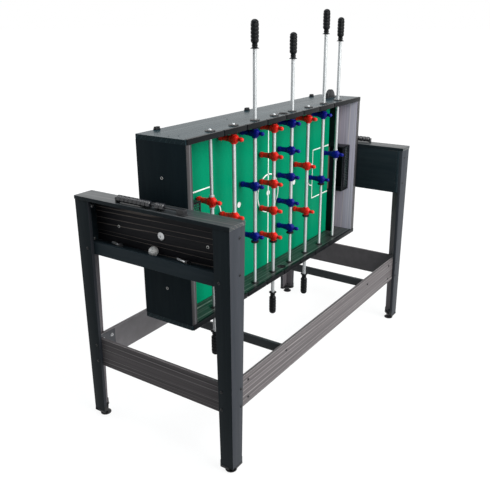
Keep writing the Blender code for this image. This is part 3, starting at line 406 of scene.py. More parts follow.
leg_foil = foil("leg_charcoal_foil", *LEG_FOIL, (90.0, 90.0, 5.0), specular=0.10)
# The backing's finish is painted lighter than its own grey, as painted light.
leg_backing_and_painted_light = foil("leg_grey_backing_painted_lighter", *LEG_BACKING_AND_PAINTED_LIGHT, (90.0, 90.0, 5.0), specular=0.25)
leg_front = foil("leg_black_foil", *LEG_BLACK, (90.0, 90.0, 5.0), specular=0.06)
shoe_plastic = moulded("shoe_black_plastic", SHOE_BLACK)
for end, side_x in ENDS:
    for side, side_y in SIDES:
        boards = bmesh.new()
        for corners in LEG_CORNERS:
            rings = [
                leg_section(SHOE_TOP, 0.0, corners, side_x, side_y),
                leg_section(LEG_TOP, 1.0, corners, side_x, side_y),
            ]
            faces = loft_into(boards, rings)
            rounded(boards, {edge for face in faces for edge in face.edges}, PANEL_EDGE)
        name = f"leg_{end}_{side}"
        refaced(
            piece(f"{name}_boards", boards, leg_foil, "frame", [name]),
            (leg_backing_and_painted_light, lambda face: on_backing(face, side_x, side_y)),
            (leg_front, lambda face: side_x * face.normal.x > 0.5),
        )
        shoe = bmesh.new()
        ways = (side_x, side_y, 1)
        toe_x, toe_y = HALF_LENGTH - LEG_SIDE[0], HALF_WIDTH - LEG_FRONT[0]
        back_x, back_y = HALF_LENGTH - BOARD, HALF_WIDTH - BOARD
        outer = (HALF_LENGTH + SHOE_PROUD, HALF_WIDTH + SHOE_PROUD, SHOE_TOP - 0.0002)
        box_into(shoe, (toe_x - LIP, back_y - 2 * LIP, SHOE_BOTTOM), outer, BOARD_EDGE, ways)
        box_into(shoe, (back_x - 2 * LIP, toe_y - LIP, SHOE_BOTTOM), outer, BOARD_EDGE, ways)
        gusset = [(side_x * (HALF_LENGTH - x), side_y * (HALF_WIDTH - y)) for x, y in GUSSET_CORNERS]
        loft_into(shoe, [[(x, y, z) for x, y in gusset] for z in (SHOE_BOTTOM + 0.0004, SHOE_TOP - 0.0004)])
        low, lip_top = SHOE_BOTTOM + 0.001, SHOE_TOP + SHOE_LIP
        side_lip = (toe_x - LIP, back_y - LIP, low), (toe_x - 0.0001, HALF_WIDTH, lip_top)
        front_lip = (back_x - LIP, toe_y - LIP, low), (HALF_LENGTH, toe_y - 0.0001, lip_top)
        for lip in (side_lip, front_lip):
            box_into(shoe, *lip, LIP_EDGE, ways)
        piece(f"{name}_shoe", shoe, shoe_plastic, "frame")

# Screws through the frame's boards.
# Hexagon-socket screws, black oxide on the legs and zinc on the inner nuts, driven flush with a washer
# face against the foil. Geometry nodes set one turned and broached head on every screw place.

SCREW_RADIUS, SCREW_HEAD, SOCKET_RADIUS, SOCKET_DEPTH = 0.0046, 0.0022, 0.0024, 0.0016
STRETCHER_SCREWS = (0.2894, 0.2276)
APRON_SCREWS = (0.7719, 0.6603)
SCREW_IN, FRONT_SCREW_IN, TRAY_SCREW = 0.048, 0.039, 0.6435
STRETCHER_SCREW_X, BRACE_X, BRACE_SCREW_Z = 0.565, 0.334, 0.284
SIDE_OUTER, SIDE_INNER, CROSS_OUTER, CROSS_INNER = 0.2902, 0.2782, 0.6577, 0.6457


def turns(sides, start=0.0):
    """Equal angles round a full circle."""
    return [tau * (i + start) / sides for i in range(sides)]


def turned_into(bm, profile, place=(0, 0, 0), axis="Z", sides=40, sign=1, closed=False):
    """Turns (radius, height) points round an axis through a place; a nought radius closes on a pole."""
    turn = {
        "Z": Matrix.Identity(4),
        "X": Matrix.Rotation(pi / 2, 4, "Y"),
        "Y": Matrix.Rotation(-pi / 2, 4, "X"),
    }[axis]
    move = Matrix.Translation(Vector(place)) @ turn @ Matrix.Diagonal((1, 1, sign, 1))
    rings = [[move @ Vector((r * cos(a), r * sin(a), h)) for a in turns(sides)] for r, h in profile]
    return loft_into(bm, rings, closed)


def flat_or_round(radius, height, sides, flat, start=0.0):
    """A ring of points, drawn out to a hexagon whose sides touch the radius if it is flat."""
    ring = []
    for angle in turns(sides, start):
        reach = radius / cos((angle + pi / 6) % (pi / 3) - pi / 6) if flat else radius
        ring.append((reach * cos(angle), reach * sin(angle), height))
    return ring


def screw_head():
    """A button head with a six-sided socket, its washer face at nought and its top up."""
    bm = bmesh.new()
    outside = ((0.98, 0.0), (1.0, 0.0003), (0.99, 0.45 * SCREW_HEAD), (0.86, 0.82 * SCREW_HEAD))
    inside = ((1.04, SCREW_HEAD), (1.0, SCREW_HEAD - 0.0002), (1.0, SCREW_HEAD - SOCKET_DEPTH))
    levels = [(SCREW_RADIUS * share, height, False) for share, height in (*outside, (0.68, SCREW_HEAD))]
    levels += [(SOCKET_RADIUS * cos(pi / 6) * share, height, True) for share, height in inside]
    loft_into(bm, [flat_or_round(radius, height, 24, flat) for radius, height, flat in levels])
    return bm


def node_group(name, inputs):
    """A geometry tree with the inputs given by name and kind, and the sockets that they come in by."""
    made = bpy.data.node_groups.new(name, "GeometryNodeTree")
    for label, kind in {"Geometry": "Geometry", **inputs}.items():
        made.interface.new_socket(label, in_out="INPUT", socket_type=f"NodeSocket{kind}")
    made.interface.new_socket("Geometry", in_out="OUTPUT", socket_type="NodeSocketGeometry")
    return made, add(made, "NodeGroupInput").outputs


def finished_output(tree, geometry, material):
    """Gives the finished geometry its material and sends it out of the tree."""
    dressed = add(tree, "GeometryNodeSetMaterial", {"Geometry": geometry, "Material": material})
    add(tree, "NodeGroupOutput", {"Geometry": dressed.outputs[0]})


def spread_tree():
    """One copy of an object on every point, turned to the point's facing, made real and finished."""
    made, given = node_group("one_on_every_place", {
        "Single piece": "Object", "Size": "Float", "Weld distance": "Float", "Finish": "Material",
    })
    single = add(made, "GeometryNodeObjectInfo", {"Object": given["Single piece"]})
    facing = add(made, "GeometryNodeInputNamedAttribute", {"Name": "facing"}, data_type="FLOAT_VECTOR")
    turn = add(made, "FunctionNodeAlignRotationToVector", {"Vector": facing.outputs[0]}, axis="Z")
    copies = add(made, "GeometryNodeInstanceOnPoints", {
        "Points": given["Geometry"], "Instance": single.outputs["Geometry"],
        "Rotation": turn.outputs[0], "Scale": given["Size"],
    })
    real = add(made, "GeometryNodeRealizeInstances", {"Geometry": copies.outputs[0]})
    weld = {"Geometry": real.outputs[0], "Distance": given["Weld distance"]}
    finished_output(made, add(made, "GeometryNodeMergeByDistance", weld).outputs[0], given["Finish"])
    return made


def run_nodes(name, mesh, group, settings):
    """Runs a node group once over a mesh and gives the result back as plain geometry."""
    carrier = bpy.data.objects.new(name, mesh)
    bpy.context.scene.collection.objects.link(carrier)
    modifier = carrier.modifiers.new("nodes", "NODES")
    modifier.node_group = group
    for item in group.interface.items_tree:
        if item.in_out == "INPUT" and item.name in settings:
            modifier[item.identifier] = settings[item.name]
    graph = bpy.context.evaluated_depsgraph_get()
    made = bpy.data.meshes.new_from_object(carrier.evaluated_get(graph))
    carrier.modifiers.remove(modifier)
    bpy.data.objects.remove(carrier)
    result = bmesh.new()
    result.from_mesh(made)
    bpy.data.meshes.remove(made)
    return result


def spread(name, single, places, material, body, nodes=(), size=1.0, weld=0.0, sharp=32.0):
    """Sets a single piece on each (place, facing) and keeps the result as one plain mesh."""
    pattern_mesh = bpy.data.meshes.new(name + "_single")
    single.to_mesh(pattern_mesh)
    single.free()
    pattern = bpy.data.objects.new(name + "_single", pattern_mesh)
    bpy.context.scene.collection.objects.link(pattern)
    points = bpy.data.meshes.new(name + "_places")
    points.from_pydata([place for place, _ in places], [], [])
    points.attributes.new("facing", "FLOAT_VECTOR", "POINT")
    points.attributes["facing"].data.foreach_set("vector", [part for _, way in places for part in way])
    settings = {"Single piece": pattern, "Size": size, "Weld distance": weld, "Finish": material}
    result = run_nodes(name + "_places", points, one_on_every_place, settings)
    bpy.data.objects.remove(pattern)
    return piece(name, result, material, body, nodes, sharp)


one_on_every_place = spread_tree()


def steel(name, colour, rough=(0.2, 0.34), stretch=(40.0, 40.0, 40.0), metallic=1.0):
    """Plated or polished metal: faint drawing lines, soft smears in the gloss."""

    def shades(tree):
        smears = stretched_noise(tree, 22.0, 4.0)
        dull = [part * 0.90 for part in colour]
        return ramp(tree, smears, (0.3, dull), (0.65, colour))

    def roughness(tree):
        return between(tree, stretched_noise(tree, stretch, 4.0), *rough)

    def lines(tree):
        return stretched_noise(tree, times(stretch, 9), 2.0)

    return finish(name, shades, roughness, lines, 0.00002, metallic)


screw_steel = steel("black_oxide_steel", (0.014, 0.015, 0.017), (0.26, 0.38), metallic=0.5)
zinc = steel("zinc_plate", (0.62, 0.63, 0.64), (0.24, 0.38))
screw_places = []
for side_x in WAYS:
    for side_y in WAYS:
        leg_x, leg_y = side_x * (HALF_LENGTH - SCREW_IN), side_y * (HALF_WIDTH - FRONT_SCREW_IN)
        sideways, endways = (0, side_y, 0), (side_x, 0, 0)
        for height in STRETCHER_SCREWS + APRON_SCREWS:
            screw_places.append(((leg_x, side_y * HALF_WIDTH, height), sideways))
        for height in STRETCHER_SCREWS + (TRAY_SCREW,):
            screw_places.append(((side_x * HALF_LENGTH, leg_y, height), endways))
        for height in STRETCHER_SCREWS:
            screw_places.append(((side_x * STRETCHER_SCREW_X, side_y * SIDE_OUTER, height), sideways))
        screw_places.append(((side_x * BRACE_X, side_y * SIDE_OUTER, BRACE_SCREW_Z), sideways))
spread("frame_screws", screw_head(), screw_places, screw_steel, "frame")

# The levelling feet.
# A moulded disc with a ribbed rim round a nut, on a blackened threaded stem that screws up into the
# shoe; the table stands on all four.

FOOT_IN = 0.025
DISC_RADIUS, DISC_HEIGHT, HUB_RADIUS, HUB_HEIGHT = 0.0190, 0.0080, 0.0090, 0.0157
STEM_RADIUS, STEM_TOP, THREAD = 0.0040, 0.0420, 0.0014
RIM_RIBS = 30
DISC_LEVELS = (
    (DISC_RADIUS - 0.0022, 0.0, 0.0), (DISC_RADIUS - 0.0006, 0.0004, 0.0006),
    (DISC_RADIUS, 0.0007, 0.0016), (DISC_RADIUS, 0.0007, 0.0044),
    (DISC_RADIUS - 0.0016, 0.0004, 0.0052), (DISC_RADIUS - 0.0050, 0.0, 0.0062),
    (HUB_RADIUS + 0.0012, 0.0, DISC_HEIGHT), (HUB_RADIUS * 0.8, 0.0, DISC_HEIGHT),
)
FOOT_NUT = (
    (HUB_RADIUS * 0.93, DISC_HEIGHT - 0.0004), (HUB_RADIUS, DISC_HEIGHT + 0.0006),
    (HUB_RADIUS, HUB_HEIGHT - 0.0006), (HUB_RADIUS * 0.93, HUB_HEIGHT),
)
foot_plastic = moulded("foot_black_plastic", (0.014, 0.014, 0.016), (0.38, 0.52))


def ribbed_rings(levels, ribs, centre=(0, 0), base=0.0):
    """Rings of (radius, depth, height) whose radius dips between ribs, as on a knurled rim."""
    rings = []
    for radius, depth, height in levels:
        ring = []
        for angle in turns(ribs * 4):
            here = radius - depth * (0.5 - 0.5 * cos(ribs * angle))
            ring.append((centre[0] + here * cos(angle), centre[1] + here * sin(angle), base + height))
        rings.append(ring)
    return rings


thread = [(STEM_RADIUS * 0.8, HUB_HEIGHT - 0.001)]
height = HUB_HEIGHT - 0.0005
while height < STEM_TOP - THREAD:
    thread += [(STEM_RADIUS * 0.86, height), (STEM_RADIUS, height + THREAD / 2)]
    height += THREAD
thread.append((STEM_RADIUS * 0.7, STEM_TOP - 0.0004))
for end, side_x in ENDS:
    for side, side_y in SIDES:
        centre = (side_x * (HALF_LENGTH - FOOT_IN), side_y * (HALF_WIDTH - FOOT_IN))
        name = f"foot_{end}_{side}"
        disc = bmesh.new()
        loft_into(disc, ribbed_rings(DISC_LEVELS, RIM_RIBS, centre))
        turned_into(disc, FOOT_NUT, (*centre, 0), sides=6)
        piece(f"{name}_disc", disc, foot_plastic, f"{name}_body", [name])
        stem = bmesh.new()
        turned_into(stem, thread, (*centre, 0), sides=20)
        piece(f"{name}_stem", stem, screw_steel, f"{name}_body", sharp=20)

# The end boards and their scorers.
# A narrow board with edge banding closes the top of each end frame. A steel wire between a thin plate
# and a longer foot is screwed on it, and counting beads slide along the wire.

TABLE_TOP = 0.8153
TOP_INNER, TOP_OUTER, TOP_HALF = 0.5945, 0.6715, 0.3040
SCORER_X, SCORER_Z, SCORER_START, SCORER_LENGTH = 0.653, 0.8283, 0.1260, 0.236
PLATE, PLATE_WIDTH, FOOT_BLOCK, POST_WIDTH, POST_TOP = 0.005, 0.017, 0.028, 0.016, 0.8333
SKIRT, SKIRT_HIGH, WIRE = 0.0016, 0.0032, 0.0029
TOP_FOIL = ((0.022, 0.029, 0.032), (0.040, 0.047, 0.050))
TOP_GRAIN = (0.130, 0.118, 0.118)
top_foil = foil("top_grey_foil", *TOP_FOIL, (150.0, 2.4, 150.0), TOP_GRAIN, (4.0, 0.26), (0.20, 0.48), 0.32)
post_plastic = moulded("scorer_black_plastic", (0.016, 0.017, 0.019), (0.26, 0.4))
wire_steel = steel("scorer_wire_black", (0.030, 0.031, 0.034), (0.26, 0.38), (60.0, 4.0, 60.0), 0.6)
base, stop, reach = TABLE_TOP + 0.0002, SCORER_START - SCORER_LENGTH, SCORER_LENGTH + 0.002
posts_blocks = (
    (PLATE_WIDTH / 2, SCORER_START, SCORER_START + PLATE, POST_TOP - 0.0006, BOARD_EDGE),
    (POST_WIDTH / 2, stop, stop - FOOT_BLOCK, POST_TOP, (0.0022, 3)),
    (POST_WIDTH / 2 + SKIRT, stop + 0.001, stop - FOOT_BLOCK - 0.001, base + SKIRT_HIGH, (0.0009, 2)),
)
for end, side_x in ENDS:
    name = f"top_board_{end}"
    low, high = (TOP_INNER, -TOP_HALF, TABLE_TOP - BOARD), (TOP_OUTER, TOP_HALF, TABLE_TOP)
    ways = (side_x, 1, 1)
    made = boxed(f"{name}_board", low, high, top_foil, "frame", [name], (0.0014, 3), ways)
    refaced(made, (leg_front, lambda face: abs(face.normal.x) > 0.5))
    posts = bmesh.new()
    for half, first, last, top, rounding in posts_blocks:
        low, high = (SCORER_X - half, first, base), (SCORER_X + half, last, top)
        box_into(posts, low, high, rounding, (side_x, -side_x, 1))
    piece(f"scorer_{end}_posts", posts, post_plastic, "frame")
    wire = bmesh.new()
    profile = ((WIRE * 0.7, -0.002), (WIRE, -0.001), (WIRE, reach), (WIRE * 0.7, reach + 0.001))
    turned_into(wire, profile, (side_x * SCORER_X, -side_x * SCORER_START, SCORER_Z), "Y", 24, side_x)
    piece(f"scorer_{end}_wire", wire, wire_steel, "frame")

# The counting beads.
# Turned plastic rolls bored for the wire, each with a waist of grooves so that a fingertip grips it.
# Geometry nodes string them along the wire, one roll for each goal.

BEAD_RADIUS, BEAD_LENGTH, BEAD_PITCH, BEAD_BORE = 0.0110, 0.0160, 0.0167, 0.0036
BEAD_RIBS, RIBS_IN, BEADS_START, PAIR_GAP = 4, 0.0022, 0.1255, 0.0195
BEAD_GROUPS = (
    ("score_beads_near", -1, BEADS_START, 8),
    ("score_pair_near", -1, BEADS_START - 8 * BEAD_PITCH - PAIR_GAP, 2),
    ("score_beads_far", 1, BEADS_START, 10),
)
bead_plastic = moulded("bead_black_plastic", (0.014, 0.016, 0.020), (0.16, 0.26), specular=0.6)


def counting_bead():
    """One ribbed roll lying along its own Z from nought to its length."""
    bm = bmesh.new()
    rim = [(BEAD_BORE, 0.0004), (BEAD_RADIUS * 0.72, 0.0002), (BEAD_RADIUS * 0.88, 0.0012)]
    width = (BEAD_LENGTH - 2 * RIBS_IN) / BEAD_RIBS
    ribs = []
    for rib in range(BEAD_RIBS):
        for share, part in ((0.93, 0.0), (1.0, 0.28), (1.0, 0.72), (0.93, 1.0)):
            ribs.append((BEAD_RADIUS * share, RIBS_IN + (rib + part) * width))
    far_rim = [(radius, BEAD_LENGTH - height) for radius, height in reversed(rim)]
    turned_into(bm, rim + ribs + far_rim, sides=28, closed=True)
    return bm


for group, side_x, start, count in BEAD_GROUPS:
    places = []
    for number in range(count):
        along = -side_x * (start - number * BEAD_PITCH - (BEAD_PITCH - BEAD_LENGTH) / 2)
        places.append(((side_x * SCORER_X, along, SCORER_Z), (0, side_x, 0)))
    spread(f"{group}_rolls", counting_bead(), places, bead_plastic, f"{group}_body", [group])

# The aprons.
# An upright foiled panel behind each tray carries the pivot bolt, and two moulded bushes that the lock
# pins go through.

FIT = 0.0003  # the gap left where one piece is fitted to another
APRON_INNER, APRON_OUTER, APRON_BOTTOM = 0.5945, 0.6065, 0.620
PIVOT_Z, LOCK_OFFSET, LOCK_BORE, LOCK_RIM = 0.715, 0.179, 0.0026, 0.0052
APRON_FOIL = ((0.016, 0.016, 0.019), (0.028, 0.028, 0.031))
APRON_GRAIN = (0.340, 0.290, 0.260)
APRON_BLACK = ((0.008, 0.014, 0.018), (0.014, 0.021, 0.025))
apron_foil = foil(
    "apron_dark_grain", *APRON_FOIL, (110.0, 2.0, 110.0), APRON_GRAIN, (5.0, 0.16), specular=0.08,
)
apron_back = foil("apron_black_foil", *APRON_BLACK, (60.0, 5.0, 60.0), specular=0.06)
bush_steel = steel("lock_bush_zinc", (0.42, 0.42, 0.41), (0.3, 0.42), metallic=0.6)
bush = (
    (LOCK_BORE, -0.0002), (LOCK_BORE + 0.0004, 0.0013), (LOCK_RIM - 0.0016, 0.0015),
    (LOCK_RIM, 0.0009), (LOCK_RIM, -0.0002),
)


def lock_rings(bm, profile, end_ways, x, upright=False, sides=32, closed=True):
    """Turns a profile at both lock pins of the given ends, abreast or one above the other."""
    for side_x in end_ways:
        for offset in (-LOCK_OFFSET, LOCK_OFFSET):
            place = (side_x * x, 0, PIVOT_Z + offset) if upright else (side_x * x, offset, PIVOT_Z)
            turned_into(bm, profile, place, "X", sides, side_x, closed)


for end, side_x in ENDS:
    name, ways = f"apron_{end}", (side_x, 1, 1)
    low, high = (APRON_INNER, FIT - SIDE_INNER, APRON_BOTTOM), (APRON_OUTER, SIDE_INNER - FIT, LEG_TOP)
    made = boxed(
        f"{name}_board", low, high, apron_foil, "frame", [name], PANEL_EDGE, ways,
    )
    refaced(made, (apron_back, lambda face: face.normal.x * side_x < -0.5))
    bushes = bmesh.new()
    lock_rings(bushes, bush, (side_x,), APRON_OUTER)
    piece(f"{name}_bushes", bushes, bush_steel, "frame")

# The dark bore of each lock bush, with its painted shade.
# The pins pass through these holes into the cabinet's end wall and hold it still; each is lined by the
# bush and reads black, because a black disc just inside it is painted shade.

painted_bore_shade = moulded("bore_shadow", (0.003, 0.003, 0.003), (0.6, 0.7), specular=0.05)
bores = bmesh.new()
profile = ((LOCK_BORE - 0.0002, 0.0001), (LOCK_BORE - 0.0002, 0.0004))
lock_rings(bores, profile, WAYS, APRON_OUTER, sides=24, closed=False)
piece("lock_bores", bores, painted_bore_shade, "frame")

# The pivot bolts.
# A turned and plated stub axle carries the cabinet at each end: a domed head outside the apron, a
# spacer collar inside, and a shank in the end wall.

HEAD_RADIUS, HEAD, AXLE, SPACER_RADIUS, HALF_CABINET = 0.0135, 0.0040, 0.0060, 0.0160, 0.5905
SHANK = 0.0180
pivot_steel = steel("pivot_zinc", (0.50, 0.51, 0.52), (0.30, 0.44), metallic=0.85)
out, inner = APRON_OUTER, APRON_INNER
profile = (
    (0.0034, out + HEAD - 0.0026), (0.0036, out + HEAD - 0.0002), (HEAD_RADIUS * 0.50, out + HEAD),
    (HEAD_RADIUS * 0.80, out + HEAD - 0.0007), (HEAD_RADIUS * 0.96, out + HEAD - 0.0018),
    (HEAD_RADIUS, out + 0.0012), (HEAD_RADIUS, out + FIT), (AXLE, out + FIT),
    (AXLE, inner - FIT), (SPACER_RADIUS - 0.0004, inner - FIT),
    (SPACER_RADIUS, inner - 0.0007), (SPACER_RADIUS, HALF_CABINET + 0.0009),
    (SPACER_RADIUS - 0.0004, HALF_CABINET + 0.0005), (AXLE, HALF_CABINET + 0.0005),
    (AXLE, HALF_CABINET - SHANK + 0.0008), (AXLE - 0.0008, HALF_CABINET - SHANK),
)
for end, side_x in ENDS:
    bolt = bmesh.new()
    turned_into(bolt, profile, (0, 0, PIVOT_Z), "X", 48, side_x)
    piece(f"pivot_bolt_{end}_axle", bolt, pivot_steel, "frame", [f"pivot_bolt_{end}"])

# The ball trays.
# A shallow trough across each end frame, where balls and lock pins are kept: a front rail with a lip,
# a floor, and two cheeks that the leg screws pass through to cap nuts.

RAIL_LOW, RAIL_HIGH, TRAY_FLOOR = 0.622, 0.665, 0.6535
TRAY_BLACK = ((0.012, 0.022, 0.028), (0.020, 0.030, 0.037))
tray_foil = foil("tray_black_foil", *TRAY_BLACK, (60.0, 6.0, 60.0), specular=0.08)
nut_places = []
behind_rail = CROSS_INNER - 0.0001
for end, side_x in ENDS:
    tray = bmesh.new()
    low, high = (CROSS_INNER, -SIDE_OUTER, RAIL_LOW), (CROSS_OUTER, SIDE_OUTER, RAIL_HIGH)
    box_into(tray, low, high, BOARD_EDGE, (side_x, 1, 1))
    low, high = (APRON_OUTER + FIT, -SIDE_INNER, TRAY_FLOOR - BOARD), (behind_rail, SIDE_INNER, TRAY_FLOOR)
    box_into(tray, low, high, LIP_EDGE, (side_x, 1, 1))
    for side_y in WAYS:
        low, high = (APRON_INNER, SIDE_INNER, APRON_BOTTOM), (behind_rail, SIDE_OUTER, LEG_TOP)
        box_into(tray, low, high, PANEL_EDGE, (side_x, side_y, 1))
        for height in APRON_SCREWS:
            place = (side_x * (HALF_LENGTH - SCREW_IN), side_y * SIDE_INNER, height)
            nut_places.append((place, (0, -side_y, 0)))
    piece(f"ball_tray_{end}_boards", tray, tray_foil, "frame", [f"ball_tray_{end}"])


def cap_nut():
    """A low domed hexagon nut on a washer, its seat at nought."""
    bm = bmesh.new()
    turned_into(bm, ((0.0056, 0.0), (0.0060, 0.0002), (0.0060, 0.0006), (0.0052, 0.0008)), sides=28)
    turned_into(bm, ((0.0044, 0.0007), (0.0047, 0.0010), (0.0047, 0.0020), (0.0042, 0.0022)), sides=6)
    turned_into(bm, ((0.0036, 0.0020), (0.0031, 0.0023), (0.0018, 0.0025), (0.0004, 0.00252)), sides=28)
    return bm


spread("tray_cap_nuts", cap_nut(), nut_places, zinc, "frame")

# The loose lock pins.
# Two plated steel pins with knurled plastic knobs. They hold the cabinet at either side up, and lie in
# the near tray while it is turned.

PIN_RADIUS, HALF_PIN, KNOB_RADIUS, KNOB_LENGTH, KNOB_RIBS = 0.0040, 0.034, 0.0090, 0.010, 18
PIN_TURN, PIN_TILT, PIN_X, PIN_Z = 0.36, 0.0924, -0.6248, 0.66055
PINS = (("left", 0.1761), ("right", -0.0971))
KNOB_LEVELS = (
    (KNOB_RADIUS - 0.0016, 0.0, 0.0), (KNOB_RADIUS - 0.0004, 0.0003, 0.0008), (KNOB_RADIUS, 0.0006, 0.0020),
    (KNOB_RADIUS, 0.0006, KNOB_LENGTH - 0.0022), (KNOB_RADIUS - 0.0010, 0.0, KNOB_LENGTH - 0.0008),
    (PIN_RADIUS + 0.0012, 0.0, KNOB_LENGTH),
)
# The pins' plated steel is painted paler than plain zinc. This is its own plating plus a painted glint, so
# the shafts read as bright streaks.
pin_steel_painted_glint = steel("pin_zinc_painted_glint", (0.86, 0.87, 0.88), (0.24, 0.34), metallic=0.35)
knob_plastic = moulded("pin_knob_plastic", (0.020, 0.021, 0.024), (0.28, 0.42))
start = KNOB_LENGTH - HALF_PIN
profile = (
    (PIN_RADIUS * 0.9, start - 0.002), (PIN_RADIUS, start - 0.001), (PIN_RADIUS, HALF_PIN - 0.0040),
    (PIN_RADIUS * 0.85, HALF_PIN - 0.0016), (PIN_RADIUS * 0.40, HALF_PIN - 0.0002),
)
for side, along in PINS:
    laid = Matrix.Rotation(-PIN_TURN, 4, "Z") @ Matrix.Rotation(-PIN_TILT, 4, "X")
    laid = Matrix.Translation((PIN_X, along, PIN_Z)) @ laid
    shaft = bmesh.new()
    turned_into(shaft, profile, (0, 0, 0), "Y", 32)
    knob = bmesh.new()
    loft_into(knob, ribbed_rings(KNOB_LEVELS, KNOB_RIBS, base=-HALF_PIN))
    bmesh.ops.rotate(knob, verts=knob.verts, cent=(0, 0, 0), matrix=Matrix.Rotation(-pi / 2, 3, "X"))
    for part, label, material, nodes in (
        (shaft, "shaft", pin_steel_painted_glint, [f"lock_pin_{side}"]), (knob, "knob", knob_plastic, []),
    ):
        bmesh.ops.transform(part, matrix=laid, verts=part.verts)
        piece(f"lock_pin_{side}_{label}", part, material, f"lock_pin_{side}_body", nodes)

# The ball.
# A pressed white ball with a fine parting seam and a few scuffs from the field, kept in the near tray.

BALL_RADIUS, BALL_STEPS, BALL_LEAN = 0.0155, 24, 0.9
SEAM_DEPTH, SEAM_WIDTH = 0.00018, 0.0005
BALL_TONES = ((0.30, (0.66, 0.66, 0.64)), (0.40, (0.90, 0.90, 0.88)), (0.7, (0.93, 0.93, 0.91)))


def ball_colour(tree):
    scuffs = stretched_noise(tree, 160.0, 4.0)
    return ramp(tree, scuffs, *BALL_TONES)


ball_plastic = finish(
    "ball_white_plastic", ball_colour,
    lambda tree: between(tree, stretched_noise(tree, 90.0), 0.3, 0.5),
    lambda tree: stretched_noise(tree, 500.0), 0.00008,
)
ball = bmesh.new()
profile = []
for step in range(BALL_STEPS + 1):
    angle = pi * step / BALL_STEPS - pi / 2
    height = BALL_RADIUS * sin(angle)
    dip = SEAM_DEPTH if abs(height) < SEAM_WIDTH else 0.0
    profile.append((max(BALL_RADIUS * cos(angle) - dip, 0.00002), height))
turned_into(ball, profile, (0, 0, 0), "Z", 48)
low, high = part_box("game_ball")
lean = Matrix.Translation((low + high) / 2) @ Matrix.Rotation(BALL_LEAN, 4, "X")
bmesh.ops.transform(ball, matrix=lean, verts=ball.verts)
piece("game_ball_shell", ball, ball_plastic, "game_ball_body", ["game_ball"], 60)

# The lower boards.
# Two end stretchers and two long side stretchers in grey grained foil tie the legs, and two narrow
# black braces lie across between the long ones.

STRETCHER_LOW, STRETCHER_HIGH = 0.207, 0.310
BRACE_LOW, BRACE_HIGH, RIM_EDGE = 0.268, 0.300, (0.0010, 2)
GREY_FOIL = ((0.070, 0.063, 0.066), (0.120, 0.109, 0.113))
PALE_GRAIN = (0.40, 0.38, 0.38)
# The stretchers' plain grey backing comes in two copies: painted lighter inside the side stretchers as
# painted light, and darker inside the end ones as painted shade.
SIDE_BACKING_PAINTED_LIGHT = ((0.215, 0.208, 0.218), (0.245, 0.237, 0.249))
END_BACKING_PAINTED_SHADE = ((0.070, 0.068, 0.072), (0.086, 0.083, 0.088))
BRACE_BLACK = ((0.016, 0.020, 0.022), (0.026, 0.031, 0.034))
side_foil = foil(
    "stretcher_grey_grain", *GREY_FOIL, (1.6, 150.0, 150.0), PALE_GRAIN, (4.0, 0.15), specular=0.26,
)
end_foil = foil(
    "end_stretcher_grain", *GREY_FOIL, (150.0, 1.6, 150.0), PALE_GRAIN, (4.0, 0.13), specular=0.12,
)
# One grey backing at two brightnesses: painted light inside the side stretchers, painted shade inside the end
# ones.
side_backing_painted_light = foil("side_stretcher_backing_painted_light", *SIDE_BACKING_PAINTED_LIGHT, (30.0, 30.0, 30.0), specular=0.22)
end_backing_painted_shade = foil("end_stretcher_backing_painted_shade", *END_BACKING_PAINTED_SHADE, (30.0, 30.0, 30.0), specular=0.22)
brace_foil = foil("brace_black_foil", *BRACE_BLACK, (60.0, 6.0, 60.0), specular=0.2)
for end, side_x in ENDS:
    name, ways = f"end_stretcher_{end}", (side_x, 1, 1)
    low, high = (CROSS_INNER, -SIDE_OUTER, STRETCHER_LOW), (CROSS_OUTER, SIDE_OUTER, STRETCHER_HIGH)
    made = boxed(f"{name}_board", low, high, end_foil, "frame", [name], BOARD_EDGE, ways)
    refaced(made, (end_backing_painted_shade, lambda face: side_x * face.normal.x < -0.5))
    name = f"cross_brace_{end}"
    low = (BRACE_X - BOARD / 2, FIT - SIDE_INNER, BRACE_LOW)
    high = (BRACE_X + BOARD / 2, SIDE_INNER - FIT, BRACE_HIGH)
    boxed(f"{name}_board", low, high, brace_foil, "frame", [name], RIM_EDGE, ways)
for side, side_y in SIDES:
    name, ways, half = f"side_stretcher_{side}", (1, side_y, 1), CROSS_INNER - FIT
    low, high = (-half, SIDE_INNER, STRETCHER_LOW), (half, SIDE_OUTER, STRETCHER_HIGH)
    made = boxed(f"{name}_board", low, high, side_foil, "frame", [name], BOARD_EDGE, ways)
    refaced(made, (side_backing_painted_light, lambda face: side_y * face.normal.y < -0.5))

# The corner angles.
# Pressed steel angles, painted grey-black, join the side stretchers to the legs inside, with a bent
# flange at the corner. Zinc nuts on washers draw them tight against the boards.

ANGLE_LONG, ANGLE_RETURN, ANGLE_LOW, ANGLE_TOP, ANGLE = 0.075, 0.014, 0.222, 0.3075, 0.0020
NUT_INSETS, NUT_HEIGHTS, NUT_BORE = (0.0187, 0.0581), (0.2894, 0.2400), 0.0028
ANGLE_END, ANGLE_BACK, ANGLE_BEND, FOLD_EDGE = CROSS_INNER - FIT, SIDE_INNER - ANGLE, 0.002, (0.0004, 1)
ANGLE_OUTLINE = (
    (ANGLE_END, SIDE_INNER), (ANGLE_END - ANGLE_LONG, SIDE_INNER), (ANGLE_END - ANGLE_LONG, ANGLE_BACK),
    (ANGLE_END - ANGLE - ANGLE_BEND, ANGLE_BACK), (ANGLE_END - ANGLE, ANGLE_BACK - ANGLE_BEND),
    (ANGLE_END - ANGLE, SIDE_INNER - ANGLE_RETURN), (ANGLE_END, SIDE_INNER - ANGLE_RETURN),
)
angle_paint = moulded("angle_grey_paint", (0.070, 0.074, 0.084), (0.3, 0.45), 500.0, 0.3)
angle_nuts = []
angles = bmesh.new()
